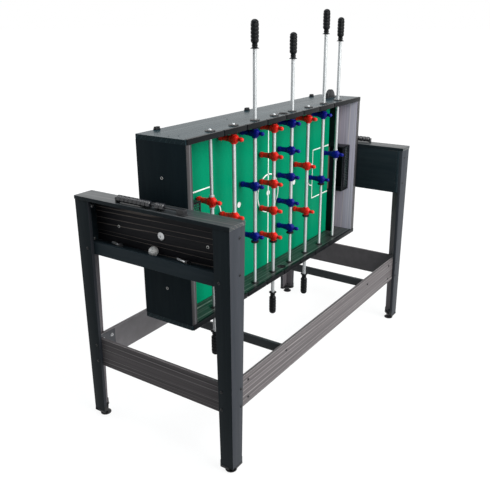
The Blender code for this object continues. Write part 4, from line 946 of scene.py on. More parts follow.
for side_x in WAYS:
    for side_y in WAYS:
        rings = [[(side_x * x, side_y * y, z) for x, y in ANGLE_OUTLINE] for z in (ANGLE_LOW, ANGLE_TOP)]
        faces = loft_into(angles, rings)
        rounded(angles, {edge for face in faces for edge in face.edges}, FOLD_EDGE)
        for height in NUT_HEIGHTS:
            for inset in NUT_INSETS:
                place = (side_x * (CROSS_INNER - inset), side_y * ANGLE_BACK, height)
                angle_nuts.append((place, (0, -side_y, 0)))
piece("corner_angles", angles, angle_paint, "frame")


def open_nut():
    """A hexagon nut on a washer, bored through, its seat at nought."""
    bm = bmesh.new()
    washer = ((NUT_BORE, 0.0001), (0.0058, 0.0001), (0.0062, 0.0004), (0.0062, 0.0009), (NUT_BORE, 0.0010))
    turned_into(bm, washer, sides=30, closed=True)
    hexagon = (
        (NUT_BORE, 0.0008), (0.0050, 0.0008), (0.0053, 0.0012), (0.0053, 0.0036), (0.0048, 0.0041),
        (NUT_BORE, 0.0041),
    )
    turned_into(bm, hexagon, sides=6, closed=True)
    return bm


spread("corner_angle_nuts", open_nut(), angle_nuts, zinc, "frame", sharp=25)

# The cabinet's side rails.
# Long boards with a black foil outside and a dark grained foil inside, edge-banded, bored for eight
# rods and a serving hole. They carry everything that turns with the cabinet.

HALF_HEIGHT, RAIL_INNER, HALF_DEPTH = 0.3025, 0.2875, 0.0975
RODS_Y, ROD_SPACING, ROD_COUNT = -0.0675, 0.1245, 8
SERVE_RADIUS, RAIL_BORE, RAIL_EASE = 0.0180, 0.0100, 0.0012
RAIL_FOIL = ((0.007, 0.021, 0.027), (0.013, 0.031, 0.039))
RAIL_LINES = (0.060, 0.090, 0.098)
RAIL_GRAIN = ((0.012, 0.018, 0.017), (0.026, 0.032, 0.030))
GRAIN_LINES = (0.260, 0.290, 0.270)
RAILS = (("upper", 1), ("lower", -1))
rail_foil = foil(
    "rail_black_foil", *RAIL_FOIL, (2.0, 120.0, 120.0), RAIL_LINES, (4.0, 0.16), (0.20, 0.32), 0.07,
)
rail_grain = foil(
    "rail_dark_grain", *RAIL_GRAIN, (1.8, 150.0, 150.0), GRAIN_LINES, (4.0, 0.18), (0.24, 0.34), 0.45,
)


def rod_x(number):
    return (number - (ROD_COUNT - 1) / 2) * ROD_SPACING


def bored_slab(bm, outline, holes, low, high):
    """A slab over an outline in X and Y, from one height to another, with round holes through it."""
    rings = []
    for z in (low, high):
        loops = [[bm.verts.new((x, y, z)) for x, y in outline]]
        for (x, y), radius, sides in holes:
            loops.append([bm.verts.new((x + radius * cos(a), y + radius * sin(a), z)) for a in turns(sides)])
        edges = []
        for loop in loops:
            edges += [bm.edges.new((loop[i - 1], loop[i])) for i in range(len(loop))]
        bmesh.ops.triangle_fill(bm, edges=edges, use_beauty=True)
        rings.append(loops)
    for lower, upper in zip(*rings):
        for i in range(len(lower)):
            bm.faces.new((lower[i - 1], lower[i], upper[i], upper[i - 1]))
    bmesh.ops.recalc_face_normals(bm, faces=bm.faces)


long, deep = HALF_CABINET - RAIL_EASE, HALF_DEPTH - RAIL_EASE
rail_outline = (
    (-HALF_CABINET, -deep), (-long, -HALF_DEPTH), (long, -HALF_DEPTH), (HALF_CABINET, -deep),
    (HALF_CABINET, deep), (long, HALF_DEPTH), (-long, HALF_DEPTH), (-HALF_CABINET, deep),
)
rail_holes = [((rod_x(number), RODS_Y), RAIL_BORE, 24) for number in range(ROD_COUNT)]
rail_holes.append(((0.0, RODS_Y), SERVE_RADIUS, 40))
for side, sign in RAILS:
    rail = bmesh.new()
    heights = sorted((PIVOT_Z + sign * RAIL_INNER, PIVOT_Z + sign * HALF_HEIGHT))
    bored_slab(rail, rail_outline, rail_holes, *heights)
    name = f"side_rail_{side}"
    made = piece(f"{name}_board", rail, rail_foil, "cabinet", [name])
    refaced(made, (rail_grain, lambda face: face.normal.z * sign < -0.5))

# The rails' screws.
# Small countersunk screws, blackened, hold the boards between the rails and, at the ends, the walls.

FIELD_SCREW = (0.214, 0.028)
WALL_SCREWS = ((0.5680, -0.0145), (0.5480, -0.0362))
SCREW_SUNK = 0.0006
rail_screws = []
for sign in WAYS:
    for side_x in WAYS:
        for x, y in (FIELD_SCREW, *WALL_SCREWS):
            place = (side_x * x, y, PIVOT_Z + sign * (HALF_HEIGHT - SCREW_SUNK))
            rail_screws.append((place, (0, 0, sign)))
spread("rail_screws", screw_head(), rail_screws, screw_steel, "cabinet", size=0.62)

# The edge banding.
# A thin black plastic strip glued along both long edges of each rail.

BAND, BAND_PROUD, BAND_END = 0.0006, 0.0001, 0.002
band_plastic = moulded("edge_band", (0.010, 0.013, 0.015), (0.28, 0.4), specular=0.08)
bands = bmesh.new()
low = (BAND_END - HALF_CABINET, HALF_DEPTH - BAND - BAND_PROUD, RAIL_INNER + FIT)
high = (HALF_CABINET - BAND_END, HALF_DEPTH + BAND_PROUD, HALF_HEIGHT - FIT)
for sign in WAYS:
    for side_y in WAYS:
        box_into(bands, low, high, (0.0002, 1), (1, side_y, sign), PIVOT_Z)
piece("rail_edge_bands", bands, band_plastic, "cabinet")

# The edge strips.
# Black moulded strips snapped over the playing side's edge of both rails close the slots that the rod
# bearings are dropped into, one strip from each rod to the next, with a short gap between them.

STRIP_PROUD, STRIP_GAP, STRIP_PAST, STRIP_WRAP, STRIP_END = 0.0030, 0.0060, 0.0300, 0.0070, 0.001
OUTER_WRAP, INNER_WRAP, MOULDED_EDGE = 0.0009, 0.0011, (0.0010, 3)
STRIP_BLOCKS = (
    (-STRIP_PROUD, 0.0002, RAIL_INNER - 0.0002, HALF_HEIGHT + 0.0004, MOULDED_EDGE),
    (0.0006 - STRIP_PROUD, STRIP_WRAP, HALF_HEIGHT, HALF_HEIGHT + OUTER_WRAP, FOLD_EDGE),
    (0.0006 - STRIP_PROUD, STRIP_WRAP, RAIL_INNER - INNER_WRAP, RAIL_INNER, FOLD_EDGE),
)
strip_plastic = moulded("edge_strip_plastic", (0.004, 0.005, 0.006), (0.26, 0.38), 600.0, 0.07)
strips = bmesh.new()
joints = [rod_x(number) + STRIP_PAST for number in range(ROD_COUNT - 1)]
joints = [STRIP_END - HALF_CABINET, *joints, HALF_CABINET - STRIP_END]
for sign in WAYS:
    for first, last in zip(joints, joints[1:]):
        for front, back, under, over, rounding in STRIP_BLOCKS:
            low = (first + STRIP_GAP / 2, front - HALF_DEPTH, under)
            high = (last - STRIP_GAP / 2, back - HALF_DEPTH, over)
            box_into(strips, low, high, rounding, (1, 1, sign), PIVOT_Z)
piece("rail_edge_strips", strips, strip_plastic, "cabinet")

# The rod bearings.
# Two-part flanged bushes in black nylon, one in each rail for each rod: a flange with spanner flats
# outside, a seat inside for the bumper to strike. Geometry nodes set them at the sixteen bores.

BUSH_RIM, BUSH_FLANGE, BUSH_SEAT, SEAT_DEPTH, BUSH_BORE = 0.0165, 0.0040, 0.0135, 0.0045, 0.0072
SPANNER_FLATS, FLAT_SIZE, FLAT_SUNK = 6, (0.0022, 0.0016, 0.0014), 0.0011
bush_nylon = moulded("bearing_black_nylon", (0.011, 0.012, 0.013), (0.3, 0.46), 700.0, 0.35)


def rod_bearing():
    """One bearing along Z: nought is the rail's outer face, the seat lies below its inner face."""
    bm = bmesh.new()
    inside = RAIL_INNER - HALF_HEIGHT
    seat = inside - SEAT_DEPTH
    profile = (
        (BUSH_BORE, BUSH_FLANGE - 0.0006), (BUSH_BORE + 0.0008, BUSH_FLANGE),
        (BUSH_RIM * 0.80, BUSH_FLANGE), (BUSH_RIM * 0.84, BUSH_FLANGE - 0.0010),
        (BUSH_RIM * 0.96, BUSH_FLANGE - 0.0014), (BUSH_RIM, BUSH_FLANGE - 0.0022), (BUSH_RIM, 0.0002),
        (RAIL_BORE - FIT, 0.0002), (RAIL_BORE - FIT, inside - 0.0002),
        (BUSH_SEAT, inside - 0.0002), (BUSH_SEAT, seat + 0.0012),
        (BUSH_SEAT - 0.0012, seat), (BUSH_BORE + 0.0006, seat), (BUSH_BORE, seat + 0.0006),
    )
    turned_into(bm, profile, sides=40, closed=True)
    for angle in turns(SPANNER_FLATS):
        middle = Vector((cos(angle), sin(angle), 0)) * BUSH_RIM * 0.90
        notch = bmesh.ops.create_cube(bm, size=1.0)["verts"]
        shape = Matrix.Translation(middle + Vector((0, 0, BUSH_FLANGE - FLAT_SUNK)))
        shape = shape @ Matrix.Rotation(angle, 4, "Z") @ Matrix.Diagonal((*FLAT_SIZE, 1))
        bmesh.ops.transform(bm, matrix=shape, verts=notch)
    return bm


bearing_places = []
for sign in WAYS:
    for number in range(ROD_COUNT):
        place = (rod_x(number), RODS_Y, PIVOT_Z + sign * HALF_HEIGHT)
        bearing_places.append((place, (0, 0, sign)))
spread("rod_bearings", rod_bearing(), bearing_places, bush_nylon, "cabinet")

# The serving collars.
# A moulded ring lines the hole in the middle of each rail that the ball is served through.

collar_plastic = moulded("collar_black_plastic", (0.012, 0.013, 0.014), (0.22, 0.34), specular=0.45)
collars = bmesh.new()
profile = (
    (SERVE_RADIUS - 0.0010, RAIL_INNER + 0.001), (SERVE_RADIUS - 0.0010, HALF_HEIGHT + 0.0010),
    (SERVE_RADIUS - 0.0004, HALF_HEIGHT + 0.0015), (SERVE_RADIUS + 0.0016, HALF_HEIGHT + 0.0015),
    (SERVE_RADIUS + 0.0030, HALF_HEIGHT + 0.0008), (SERVE_RADIUS + 0.0030, HALF_HEIGHT + 0.0002),
    (SERVE_RADIUS - 0.0001, HALF_HEIGHT + 0.0002), (SERVE_RADIUS - 0.0001, RAIL_INNER + 0.001),
)
for sign in WAYS:
    turned_into(collars, profile, (0, RODS_Y, PIVOT_Z), "Z", 48, sign, closed=True)
piece("serving_collars", collars, collar_plastic, "cabinet")

# The edge clips and the swing grip.
# Moulded blocks on the rails' back edges keep the hockey side's glides together, and a half-round grip
# on a screwed plate is what the cabinet is swung by.

CLIP_HALF, CLIP_DEEP, CLIP_HIGH, CLIP_X, CLIP_SKIRT = 0.009, 0.012, 0.0100, 0.5002, 0.001
GRIP_HALF, GRIP_RISE, GRIP_THICK, GRIP_Y, GRIP_X, GRIP_STEPS = 0.032, 0.034, 0.016, 0.005, 0.5080, 32
GRIP_ROUNDS = ((-1.0, 0.86), (-0.92, 0.95), (-0.72, 1.0), (0.72, 1.0), (0.92, 0.95), (1.0, 0.86))
GRIP_PLATE, PLATE_NEAR, PLATE_FAR, PLATE_HALF = 0.0026, 0.014, 0.020, 0.012
PLATE_SCREWS, BLOCK_EDGE = (-0.031, 0.034), (0.0022, 4)
clip_plastic = moulded("clip_black_plastic", (0.010, 0.011, 0.013), (0.24, 0.38), specular=0.22)
clips = bmesh.new()
back, base = HALF_DEPTH - 0.0012, HALF_HEIGHT + 0.0001
top, crown = HALF_HEIGHT + CLIP_HIGH, HALF_HEIGHT + CLIP_HIGH * 0.45
for sign in WAYS:
    for x in (-CLIP_X, 0.0, CLIP_X):
        low, high = (x - CLIP_HALF, back - CLIP_DEEP, base), (x + CLIP_HALF, back, top)
        box_into(clips, low, high, BLOCK_EDGE, (1, 1, sign), PIVOT_Z)
        low = (x - CLIP_HALF - CLIP_SKIRT, back - CLIP_DEEP - CLIP_SKIRT, base)
        high = (x + CLIP_HALF + CLIP_SKIRT, back + 0.0006, crown)
        box_into(clips, low, high, RIM_EDGE, (1, 1, sign), PIVOT_Z)
piece("edge_clips", clips, clip_plastic, "cabinet")
grip = bmesh.new()
base = PIVOT_Z + HALF_HEIGHT + 0.0001
bows = [pi * i / GRIP_STEPS for i in range(GRIP_STEPS + 1)]
rings = []
for along, share in GRIP_ROUNDS:
    y, wide, rise = GRIP_Y + along * GRIP_THICK / 2, share * GRIP_HALF, share * GRIP_RISE
    rings.append([(GRIP_X + wide * cos(angle), y, base + rise * sin(angle)) for angle in bows])
loft_into(grip, rings)
low = (GRIP_X - GRIP_HALF - PLATE_NEAR, GRIP_Y - PLATE_HALF, base)
high = (GRIP_X + GRIP_HALF + PLATE_FAR, GRIP_Y + PLATE_HALF, base + GRIP_PLATE)
box_into(grip, low, high, MOULDED_EDGE)
piece("swing_grip_moulding", grip, clip_plastic, "cabinet")
plate_screws = [((GRIP_X + x, GRIP_Y, base + GRIP_PLATE), (0, 0, 1)) for x in PLATE_SCREWS]
spread("swing_grip_screws", screw_head(), plate_screws, screw_steel, "cabinet", size=0.9)

# The end walls.
# Thick walls between the rails: black foil outside, a mauve-grey printed grain inside the field, painted
# paler than its own colour as painted light, and open edges banded in the same grain. Each is bored for
# its pivot bolt and two lock pins.

WALL_INNER, LOCK_SOCKET, SOCKET_RIM = 0.5655, 0.0028, 0.0047
# The inner mauve-grey grain is partly its own colour and partly painted light: it is painted paler where the
# wall stands in shade.
WALL_FOIL_AND_PAINTED_LIGHT = ((0.380, 0.370, 0.450), (0.540, 0.528, 0.640))
WALL_LINES = (0.66, 0.62, 0.66)
WALL_BLACK = ((0.005, 0.011, 0.015), (0.009, 0.017, 0.021))
wall_black = foil("wall_black_foil", *WALL_BLACK, (50.0, 50.0, 5.0), specular=0.04)
wall_grain_and_painted_light = foil(
    "wall_mauve_grain_painted_paler", *WALL_FOIL_AND_PAINTED_LIGHT, (110.0, 110.0, 1.8), WALL_LINES, (4.0, 0.22), (0.36, 0.5), 0.35,
)
EDGE_TONES = (
    (0.16, (0.006, 0.007, 0.009)), (0.20, (0.024, 0.022, 0.024)), (0.50, (0.027, 0.024, 0.026)),
    (0.56, (0.078, 0.080, 0.085)), (0.74, (0.070, 0.072, 0.078)), (0.80, (0.022, 0.021, 0.024)),
)


def edge_colour(tree):
    split = add(tree, "ShaderNodeSeparateXYZ", {0: own_place(tree)})
    across = maths(tree, "ABSOLUTE", split.outputs["X"])
    spanned = {"Value": across, "From Min": HALF_CABINET, "From Max": WALL_INNER}
    tones = ramp(tree, add(tree, "ShaderNodeMapRange", spanned).outputs[0], *EDGE_TONES)
    return scaled(tree, tones, between(tree, stretched_noise(tree, (130.0, 130.0, 3.0), 3.0), 0.8, 1.2))


wall_edge = finish(
    "wall_edge_bands", edge_colour,
    lambda tree: between(tree, stretched_noise(tree, (90.0, 90.0, 4.0)), 0.34, 0.48),
    lambda tree: stretched_noise(tree, (150.0, 150.0, 3.0)), 0.0001, 0.0, 0.3,
)
for end, side_x in ENDS:
    name, half = f"end_wall_{end}", RAIL_INNER - FIT
    low, high = (WALL_INNER, -HALF_DEPTH, -half), (HALF_CABINET, HALF_DEPTH, half)
    made = boxed(
        f"{name}_board", low, high, wall_black, "cabinet", [name], (0.0007, 2),
        (side_x, 1, 1), PIVOT_Z,
    )
    inner_faces = (wall_grain_and_painted_light, lambda face: face.normal.x * side_x < -0.5)
    refaced(made, inner_faces, (wall_edge, lambda face: abs(face.normal.y) > 0.5))

# The lock sockets in the end walls.
# Moulded liners that the lock pins enter when the cabinet lies flat.

liners, shades = bmesh.new(), bmesh.new()
profile = (
    (LOCK_SOCKET, 0.0001), (LOCK_SOCKET + FIT, 0.0008), (SOCKET_RIM - FIT, 0.0009), (SOCKET_RIM, 0.0001),
)
lock_rings(liners, profile, WAYS, HALF_CABINET, upright=True)
piece("lock_sockets", liners, bush_steel, "cabinet")
# A black disc just inside each socket is painted shade.
profile = ((LOCK_SOCKET - 0.0001, 0.0001), (LOCK_SOCKET - 0.0001, 0.0003))
lock_rings(shades, profile, WAYS, HALF_CABINET, upright=True, sides=24, closed=False)
piece("lock_socket_bores", shades, painted_bore_shade, "cabinet")

# The playing field.
# A green printed board let in between the rails and end walls, satin, with brown foil under the far
# goal hood. The field of play is marked with lines.

FIELD_LENGTH, FIELD_HEIGHT, FIELD_FACE, FIELD_BACK, SHEET_EDGE = 0.5652, 0.2872, -0.0050, 0.0040, (0.0003, 1)
GREEN_END, GREEN, GREEN_DEEP = 0.4930, (0.0005, 0.225, 0.112), (0.0003, 0.198, 0.097)
GOAL_FLOOR = ((0.3, (0.085, 0.060, 0.050)), (0.7, (0.130, 0.092, 0.074)))


def field_colour(tree):
    blades = ramp(tree, stretched_noise(tree, 240.0, 3.0), (0.35, GREEN_DEEP), (0.65, GREEN))
    split = add(tree, "ShaderNodeSeparateXYZ", {0: own_place(tree)})
    beyond = maths(tree, "GREATER_THAN", split.outputs["X"], GREEN_END)
    return mixed(tree, beyond, blades, ramp(tree, stretched_noise(tree, (130.0, 130.0, 3.0)), *GOAL_FLOOR))


field_print = finish(
    "field_green_print", field_colour,
    lambda tree: between(tree, stretched_noise(tree, 40.0), 0.34, 0.46),
    lambda tree: stretched_noise(tree, 420.0, 3.0), 0.00004, 0.0, 0.03,
)
low, high = (-FIELD_LENGTH, FIELD_FACE, -FIELD_HEIGHT), (FIELD_LENGTH, FIELD_BACK, FIELD_HEIGHT)
boxed(
    "foosball_field_board", low, high, field_print, "cabinet", ["foosball_field"], SHEET_EDGE,
    about=PIVOT_Z,
)

# The field's markings.
# White lines screen-printed on the green: the halfway line, centre circle and spots, and at each end a
# penalty area with its arc. Geometry nodes sweep one flat stripe along all of them.

STRIPE, INK, INK_LIFT = 0.0052, 0.00030, 0.00005
CIRCLE_RADIUS, SPOT_RADIUS, KICK_SPOT = 0.0720, 0.0105, 0.1950
AREA_X, AREA_HALF, ARC_RADIUS = 0.350, 0.103, 0.046
FIELD_SIDE = (FIELD_FACE, -1, "green_field")
line_ink = moulded("field_white_ink", (0.78, 0.80, 0.78), (0.32, 0.45), 600.0, 0.25)


def stripe_tree():
    """Sweeps a flat stripe along every edge path of a mesh laid on the field."""
    made, given = node_group("printed_stripe", {
        "Stripe width": "Float", "Ink thickness": "Float", "Finish": "Material",
    })
    path = add(made, "GeometryNodeMeshToCurve", {0: given["Geometry"]})
    upright = add(made, "GeometryNodeSetCurveNormal", {0: path.outputs[0]}, mode="FREE")
    upright.inputs["Normal"].default_value = (0.0, -1.0, 0.0)
    size = {"Width": given["Ink thickness"], "Height": given["Stripe width"]}
    section = add(made, "GeometryNodeCurvePrimitiveQuadrilateral", size)
    swept = add(made, "GeometryNodeCurveToMesh", {
        "Curve": upright.outputs[0], "Profile Curve": section.outputs[0], "Fill Caps": True,
    })
    real = add(made, "GeometryNodeRealizeInstances", {0: swept.outputs[0]})
    finished_output(made, real.outputs[0], given["Finish"])
    return made


def marked(name, paths, face, out, slot, ink):
    """Prints a stripe along edge paths, given as (points, closed) in X and height, on a board's face."""
    verts, edges = [], []
    for points, closed in paths:
        first = len(verts)
        verts += [(x, face + out * (INK / 2 + INK_LIFT), PIVOT_Z + z) for x, z in points]
        edges += [(first + i, first + i + 1) for i in range(len(points) - 1)]
        if closed:
            edges.append((len(verts) - 1, first))
    laid = bpy.data.meshes.new("marking_paths")
    laid.from_pydata(verts, edges, [])
    settings = {"Stripe width": STRIPE, "Ink thickness": INK, "Finish": ink}
    result = run_nodes(name + "_paths", laid, printed_stripe, settings)
    bmesh.ops.recalc_face_normals(result, faces=result.faces)
    piece(name, result, ink, "cabinet")


def spotted(name, places, face, out, slot, ink):
    """Prints a round spot at each place in X and height on a board's face."""
    spots = bmesh.new()
    for x, z in places:
        place = (x, face + out * INK_LIFT, PIVOT_Z + z)
        turned_into(spots, ((SPOT_RADIUS, 0.0), (SPOT_RADIUS, out * INK)), place, "Y", 36)
    piece(name, spots, ink, "cabinet")


def circle_points(x, z, radius):
    return [(x + radius * cos(angle), z + radius * sin(angle)) for angle in turns(72)]


def at_both_ends(outline):
    return [([(side_x * x, z) for x, z in outline], False) for side_x in WAYS]


def half_circle(x, radius, steps):
    """The half of a circle that bulges towards the middle of the field."""
    angles = [pi / 2 + pi * i / steps for i in range(steps + 1)]
    return [(x + radius * cos(angle), radius * sin(angle)) for angle in angles]


printed_stripe = stripe_tree()
line_top, area_end = RAIL_INNER - 0.0010, GREEN_END - 0.001
halfway = ([(0.0, -line_top), (0.0, line_top)], False)
middle_circle = (circle_points(0.0, 0.0, CIRCLE_RADIUS), True)
area = ((area_end, AREA_HALF), (AREA_X, AREA_HALF), (AREA_X, -AREA_HALF), (area_end, -AREA_HALF))
paths = [halfway, middle_circle, *at_both_ends(area), *at_both_ends(half_circle(AREA_X, ARC_RADIUS, 36))]
marked("field_lines", paths, *FIELD_SIDE, line_ink)
spotted("field_spots", [(x, 0.0) for x in (-KICK_SPOT, 0.0, KICK_SPOT)], *FIELD_SIDE, line_ink)

# The glide-hockey board.
# On the reverse a smooth pale board, slightly sunk between the rails, marked with a red centre line,
# blue zone lines and circles for glide hockey.

HOCKEY_FACE, HOCKEY_BOARD = 0.0590, 0.009
HOCKEY_SIDE = (HOCKEY_FACE, 1, "hockey_white")
ZONE_X, CREASE_RADIUS, FACE_OFF_RADIUS, FACE_OFF_X, FACE_OFF_Z = 0.190, 0.082, 0.058, 0.375, 0.145
hockey_gloss = moulded("hockey_pale_board", (0.74, 0.76, 0.77), (0.22, 0.26), 240.0, 0.4, drifts=0.02)
red_ink = moulded("hockey_red_ink", (0.58, 0.03, 0.025), (0.28, 0.4), 600.0)
blue_ink = moulded("hockey_blue_ink", (0.02, 0.07, 0.34), (0.28, 0.4), 600.0)
low = (-FIELD_LENGTH, HOCKEY_FACE - HOCKEY_BOARD, -FIELD_HEIGHT)
high = (FIELD_LENGTH, HOCKEY_FACE, FIELD_HEIGHT)
boxed(
    "hockey_field_board", low, high, hockey_gloss, "cabinet", ["hockey_field"], SHEET_EDGE,
    about=PIVOT_Z,
)
face_offs = [(side_x * FACE_OFF_X, way * FACE_OFF_Z) for side_x in WAYS for way in WAYS]
face_off_circles = [(circle_points(x, z, FACE_OFF_RADIUS), True) for x, z in face_offs]
creases = at_both_ends(half_circle(WALL_INNER - 0.001, CREASE_RADIUS, 40))
zones = at_both_ends([(ZONE_X, -line_top), (ZONE_X, line_top)])
marked("hockey_red_lines", [halfway, *creases, *face_off_circles], *HOCKEY_SIDE, red_ink)
marked("hockey_blue_lines", [middle_circle, *zones], *HOCKEY_SIDE, blue_ink)
spotted("hockey_spots", [(0.0, 0.0), *face_offs], *HOCKEY_SIDE, red_ink)

# The goals.
# A black moulded hood over each goal: a frame with rounded rims, side walls, and a roof of round
# perforations through which the ball is seen. Low kick strips on either side turn the ball back.

MOUTH_X, GOAL_HALF, ROOF, HOOD_WALL, HOOD_CHEEK = 0.4968, 0.098, 0.072, 0.003, 0.0045
KICK_X, KICK_THICK, KICK_HIGH, KICK_INNER = 0.492, 0.012, 0.030, 0.0958
CELL, HOLE_RADIUS, HOLE_WIDE, CELL_ROUND, SHEET = 0.0086, 0.0032, 0.0035, 12, 0.0013
# SHADE_SHEET_TOP is how far out from the field the painted shade sheet inside each hood reaches.
RIM, SHADE_SHEET_TOP, GOAL_FOOT = 0.0058, -0.0500, FIELD_FACE - FIT
GOAL_SIDES = (
    ((MOUTH_X, -ROOF, GOAL_HALF - HOOD_CHEEK), (FIELD_LENGTH, GOAL_FOOT, GOAL_HALF), BOARD_EDGE),
    ((MOUTH_X, -ROOF, GOAL_HALF - RIM), (FIELD_LENGTH, HOOD_WALL + 0.0004 - ROOF, GOAL_HALF), RIM_EDGE),
    ((KICK_X, GOAL_FOOT - KICK_HIGH, KICK_INNER), (KICK_X + KICK_THICK, GOAL_FOOT, FIELD_HEIGHT), BLOCK_EDGE),
)
goal_plastic = moulded("goal_black_plastic", (0.003, 0.004, 0.006), (0.30, 0.44), 600.0, 0.14)


def perforated_cell():
    """A six-sided tile of the roof with a round hole, its thickness along Z and flat edges in X."""
    bm = bmesh.new()
    loops = []
    bottom, top = ((CELL / 2, 0.0), (HOLE_WIDE, 0.0)), ((HOLE_WIDE, SHEET), (CELL / 2, SHEET))
    for radius, z in (*bottom, (HOLE_RADIUS, SHEET / 2), *top):
        ring = flat_or_round(radius, z, CELL_ROUND, radius == CELL / 2, 0.5)
        loops.append([bm.verts.new(point) for point in ring])
    for one, two in zip(loops, loops[1:]):
        for i in range(CELL_ROUND):
            bm.faces.new((one[i], one[i - 1], two[i - 1], two[i]))
    return bm


for end, side_x in ENDS:
    hood = bmesh.new()
    for sign in WAYS:
        for low, high, rounding in GOAL_SIDES:
            box_into(hood, low, high, rounding, (side_x, 1, sign), PIVOT_Z)
    for x in (MOUTH_X, FIELD_LENGTH - RIM):
        low, high = (x, -ROOF, -GOAL_HALF), (x + RIM, HOOD_WALL + 0.0006 - ROOF, GOAL_HALF)
        box_into(hood, low, high, RIM_EDGE, (side_x, 1, 1), PIVOT_Z)
    # Thin black sheets on the end wall inside each hood, and on the field under the far hood, are painted
    # shade that makes the hood's inside read black.
    half = GOAL_HALF - 0.004
    shade_sheets = [((FIELD_LENGTH - 0.0016, SHADE_SHEET_TOP, -half), (FIELD_LENGTH - 0.0004, GOAL_FOOT, half))]
    if end == "far":
        low, high = (KICK_X + KICK_THICK, GOAL_FOOT - 0.0008, -half), (FIELD_LENGTH - 0.001, GOAL_FOOT, half)
        shade_sheets.append((low, high))
    for low, high in shade_sheets:
        box_into(hood, low, high, SHEET_EDGE, (side_x, 1, 1), PIVOT_Z)
    piece(f"goal_{end}_hood", hood, goal_plastic, "cabinet", [f"goal_{end}"])
    tiles = []
    row_step = CELL * cos(pi / 6)
    first_x, last_x = MOUTH_X + RIM - 0.002, FIELD_LENGTH - RIM + 0.002
    rows = int((2 * (GOAL_HALF - RIM)) / row_step)
    columns = int((last_x - first_x) / CELL)
    for row in range(rows + 1):
        z = (row - rows / 2) * row_step
        for column in range(columns + 1 - row % 2):
            x = (first_x + last_x) / 2 + (column + (row % 2) / 2 - columns / 2) * CELL
            tiles.append(((side_x * x, -ROOF + HOOD_WALL - 0.0002, PIVOT_Z + z), (0, -1, 0)))
    spread(
        f"goal_{end}_perforated_roof", perforated_cell(), tiles, goal_plastic, "cabinet",
        weld=0.00002, sharp=40,
    )

# The telescopic rods.
# Eight chromed tubes slide on polished inner rods that turn in the bearings, so that no rod comes out
# towards the other player. The end of each inner rod shows outside the opposite rail.

TUBE_RADIUS, TUBE_WALL, INNER_RADIUS, STUB_RADIUS, STUB = 0.0067, 0.0009, 0.0054, 0.0056, 0.0085
PLAYER_HALF, BUMPER_HIGH, RAIL_SEAT, TUBE_PAST = 0.0165, 0.0065, 0.0045, 0.0020
RODS = (
    ("red", 1, 0.0, 0.4560, 0.0785), ("red", 2, 0.263, 0.4365, 0.1280),
    ("blue", 3, 0.184, 0.4575, 0.0755), ("red", 5, 0.101, 0.4300, 0.0575),
    ("blue", 5, 0.101, 0.4300, 0.0575), ("red", 3, 0.184, 0.4575, 0.0755),
    ("blue", 2, 0.263, 0.4365, 0.1280), ("blue", 1, 0.0, 0.4560, 0.0785),
)


def chrome_colour(tree):
    cloud = stretched_noise(tree, (30.0, 30.0, 4.0), 3.0)
    return ramp(tree, cloud, (0.3, (0.400, 0.420, 0.430)), (0.7, (0.430, 0.455, 0.465)))


chrome = finish(
    "rod_satin_chrome", chrome_colour,
    lambda tree: between(tree, stretched_noise(tree, (60.0, 60.0, 2.0), 3.0), 0.30, 0.38),
    lambda tree: stretched_noise(tree, (90.0, 90.0, 1.0), 1.0), 0.000001, 0.30, 0.6,
)


def each_rod():
    """Every rod's name, team, place, the way its handle points, its tube's top and its players' heights."""
    for number, (team, count, spacing, reach, rest) in enumerate(RODS):
        sign = 1 if team == "blue" else -1
        heights = [PIVOT_Z + rest + (i - (count - 1) / 2) * spacing for i in range(count)]
        yield f"rod_{number + 1}", team, (rod_x(number), RODS_Y, PIVOT_Z), sign, sign * rest + reach, heights


stub, seat, bore = -HALF_HEIGHT - STUB, RAIL_SEAT - RAIL_INNER, TUBE_RADIUS - TUBE_WALL
for label, team, place, sign, top, heights in each_rod():
    low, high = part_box(f"{label}_inner")
    tip = (high.z - PIVOT_Z) if sign > 0 else (PIVOT_Z - low.z)
    inner = bmesh.new()
    profile = (
        (0.0010, stub), (0.0026, stub + 0.0004), (0.0042, stub + 0.0016),
        (STUB_RADIUS - 0.0002, stub + 0.0034), (STUB_RADIUS, stub + 0.0050), (STUB_RADIUS, seat - 0.0006),
        (INNER_RADIUS, seat), (INNER_RADIUS, tip - 0.0008), (INNER_RADIUS * 0.8, tip),
    )
    turned_into(inner, profile, place, "Z", 32, sign)
    piece(f"{label}_inner_rod", inner, chrome, f"{label}_core", [f"{label}_inner"])
    tube = bmesh.new()
    start = min(sign * (height - PIVOT_Z) for height in heights) - PLAYER_HALF - FIT - BUMPER_HIGH
    profile = (
        (bore, start), (TUBE_RADIUS - 0.0003, start), (TUBE_RADIUS, start + 0.0003),
        (TUBE_RADIUS, top + TUBE_PAST), (bore, top + TUBE_PAST),
    )
    turned_into(tube, profile, place, "Z", 36, sign, closed=True)
    piece(f"{label}_tube", tube, chrome, f"{label}_slider", [f"{label}_outer"])

# The cross pins.
# A dark spring pin goes through each tube just below its handle.

PIN_DROP, PIN_PROUD = 0.0150, 0.0003
pin_dark = steel("cross_pin_steel", (0.10, 0.10, 0.11), (0.35, 0.5))
half = TUBE_RADIUS + PIN_PROUD
profile = ((0.0010, -half), (0.0016, 0.0002 - half), (0.0016, half - 0.0002), (0.0010, half))
for label, team, (x, y, z), sign, top, heights in each_rod():
    pin = bmesh.new()
    turned_into(pin, profile, (x, y, z + sign * (top - PIN_DROP)), "X", 16)
    piece(f"{label}_cross_pin", pin, pin_dark, f"{label}_slider")

# The players.
# Glossy moulded figures pinned on the tubes, red against navy: a ribbed toe block, tapered legs in
# socks, shorts and shirt round the tube, arms at the sides and a plain rounded head.

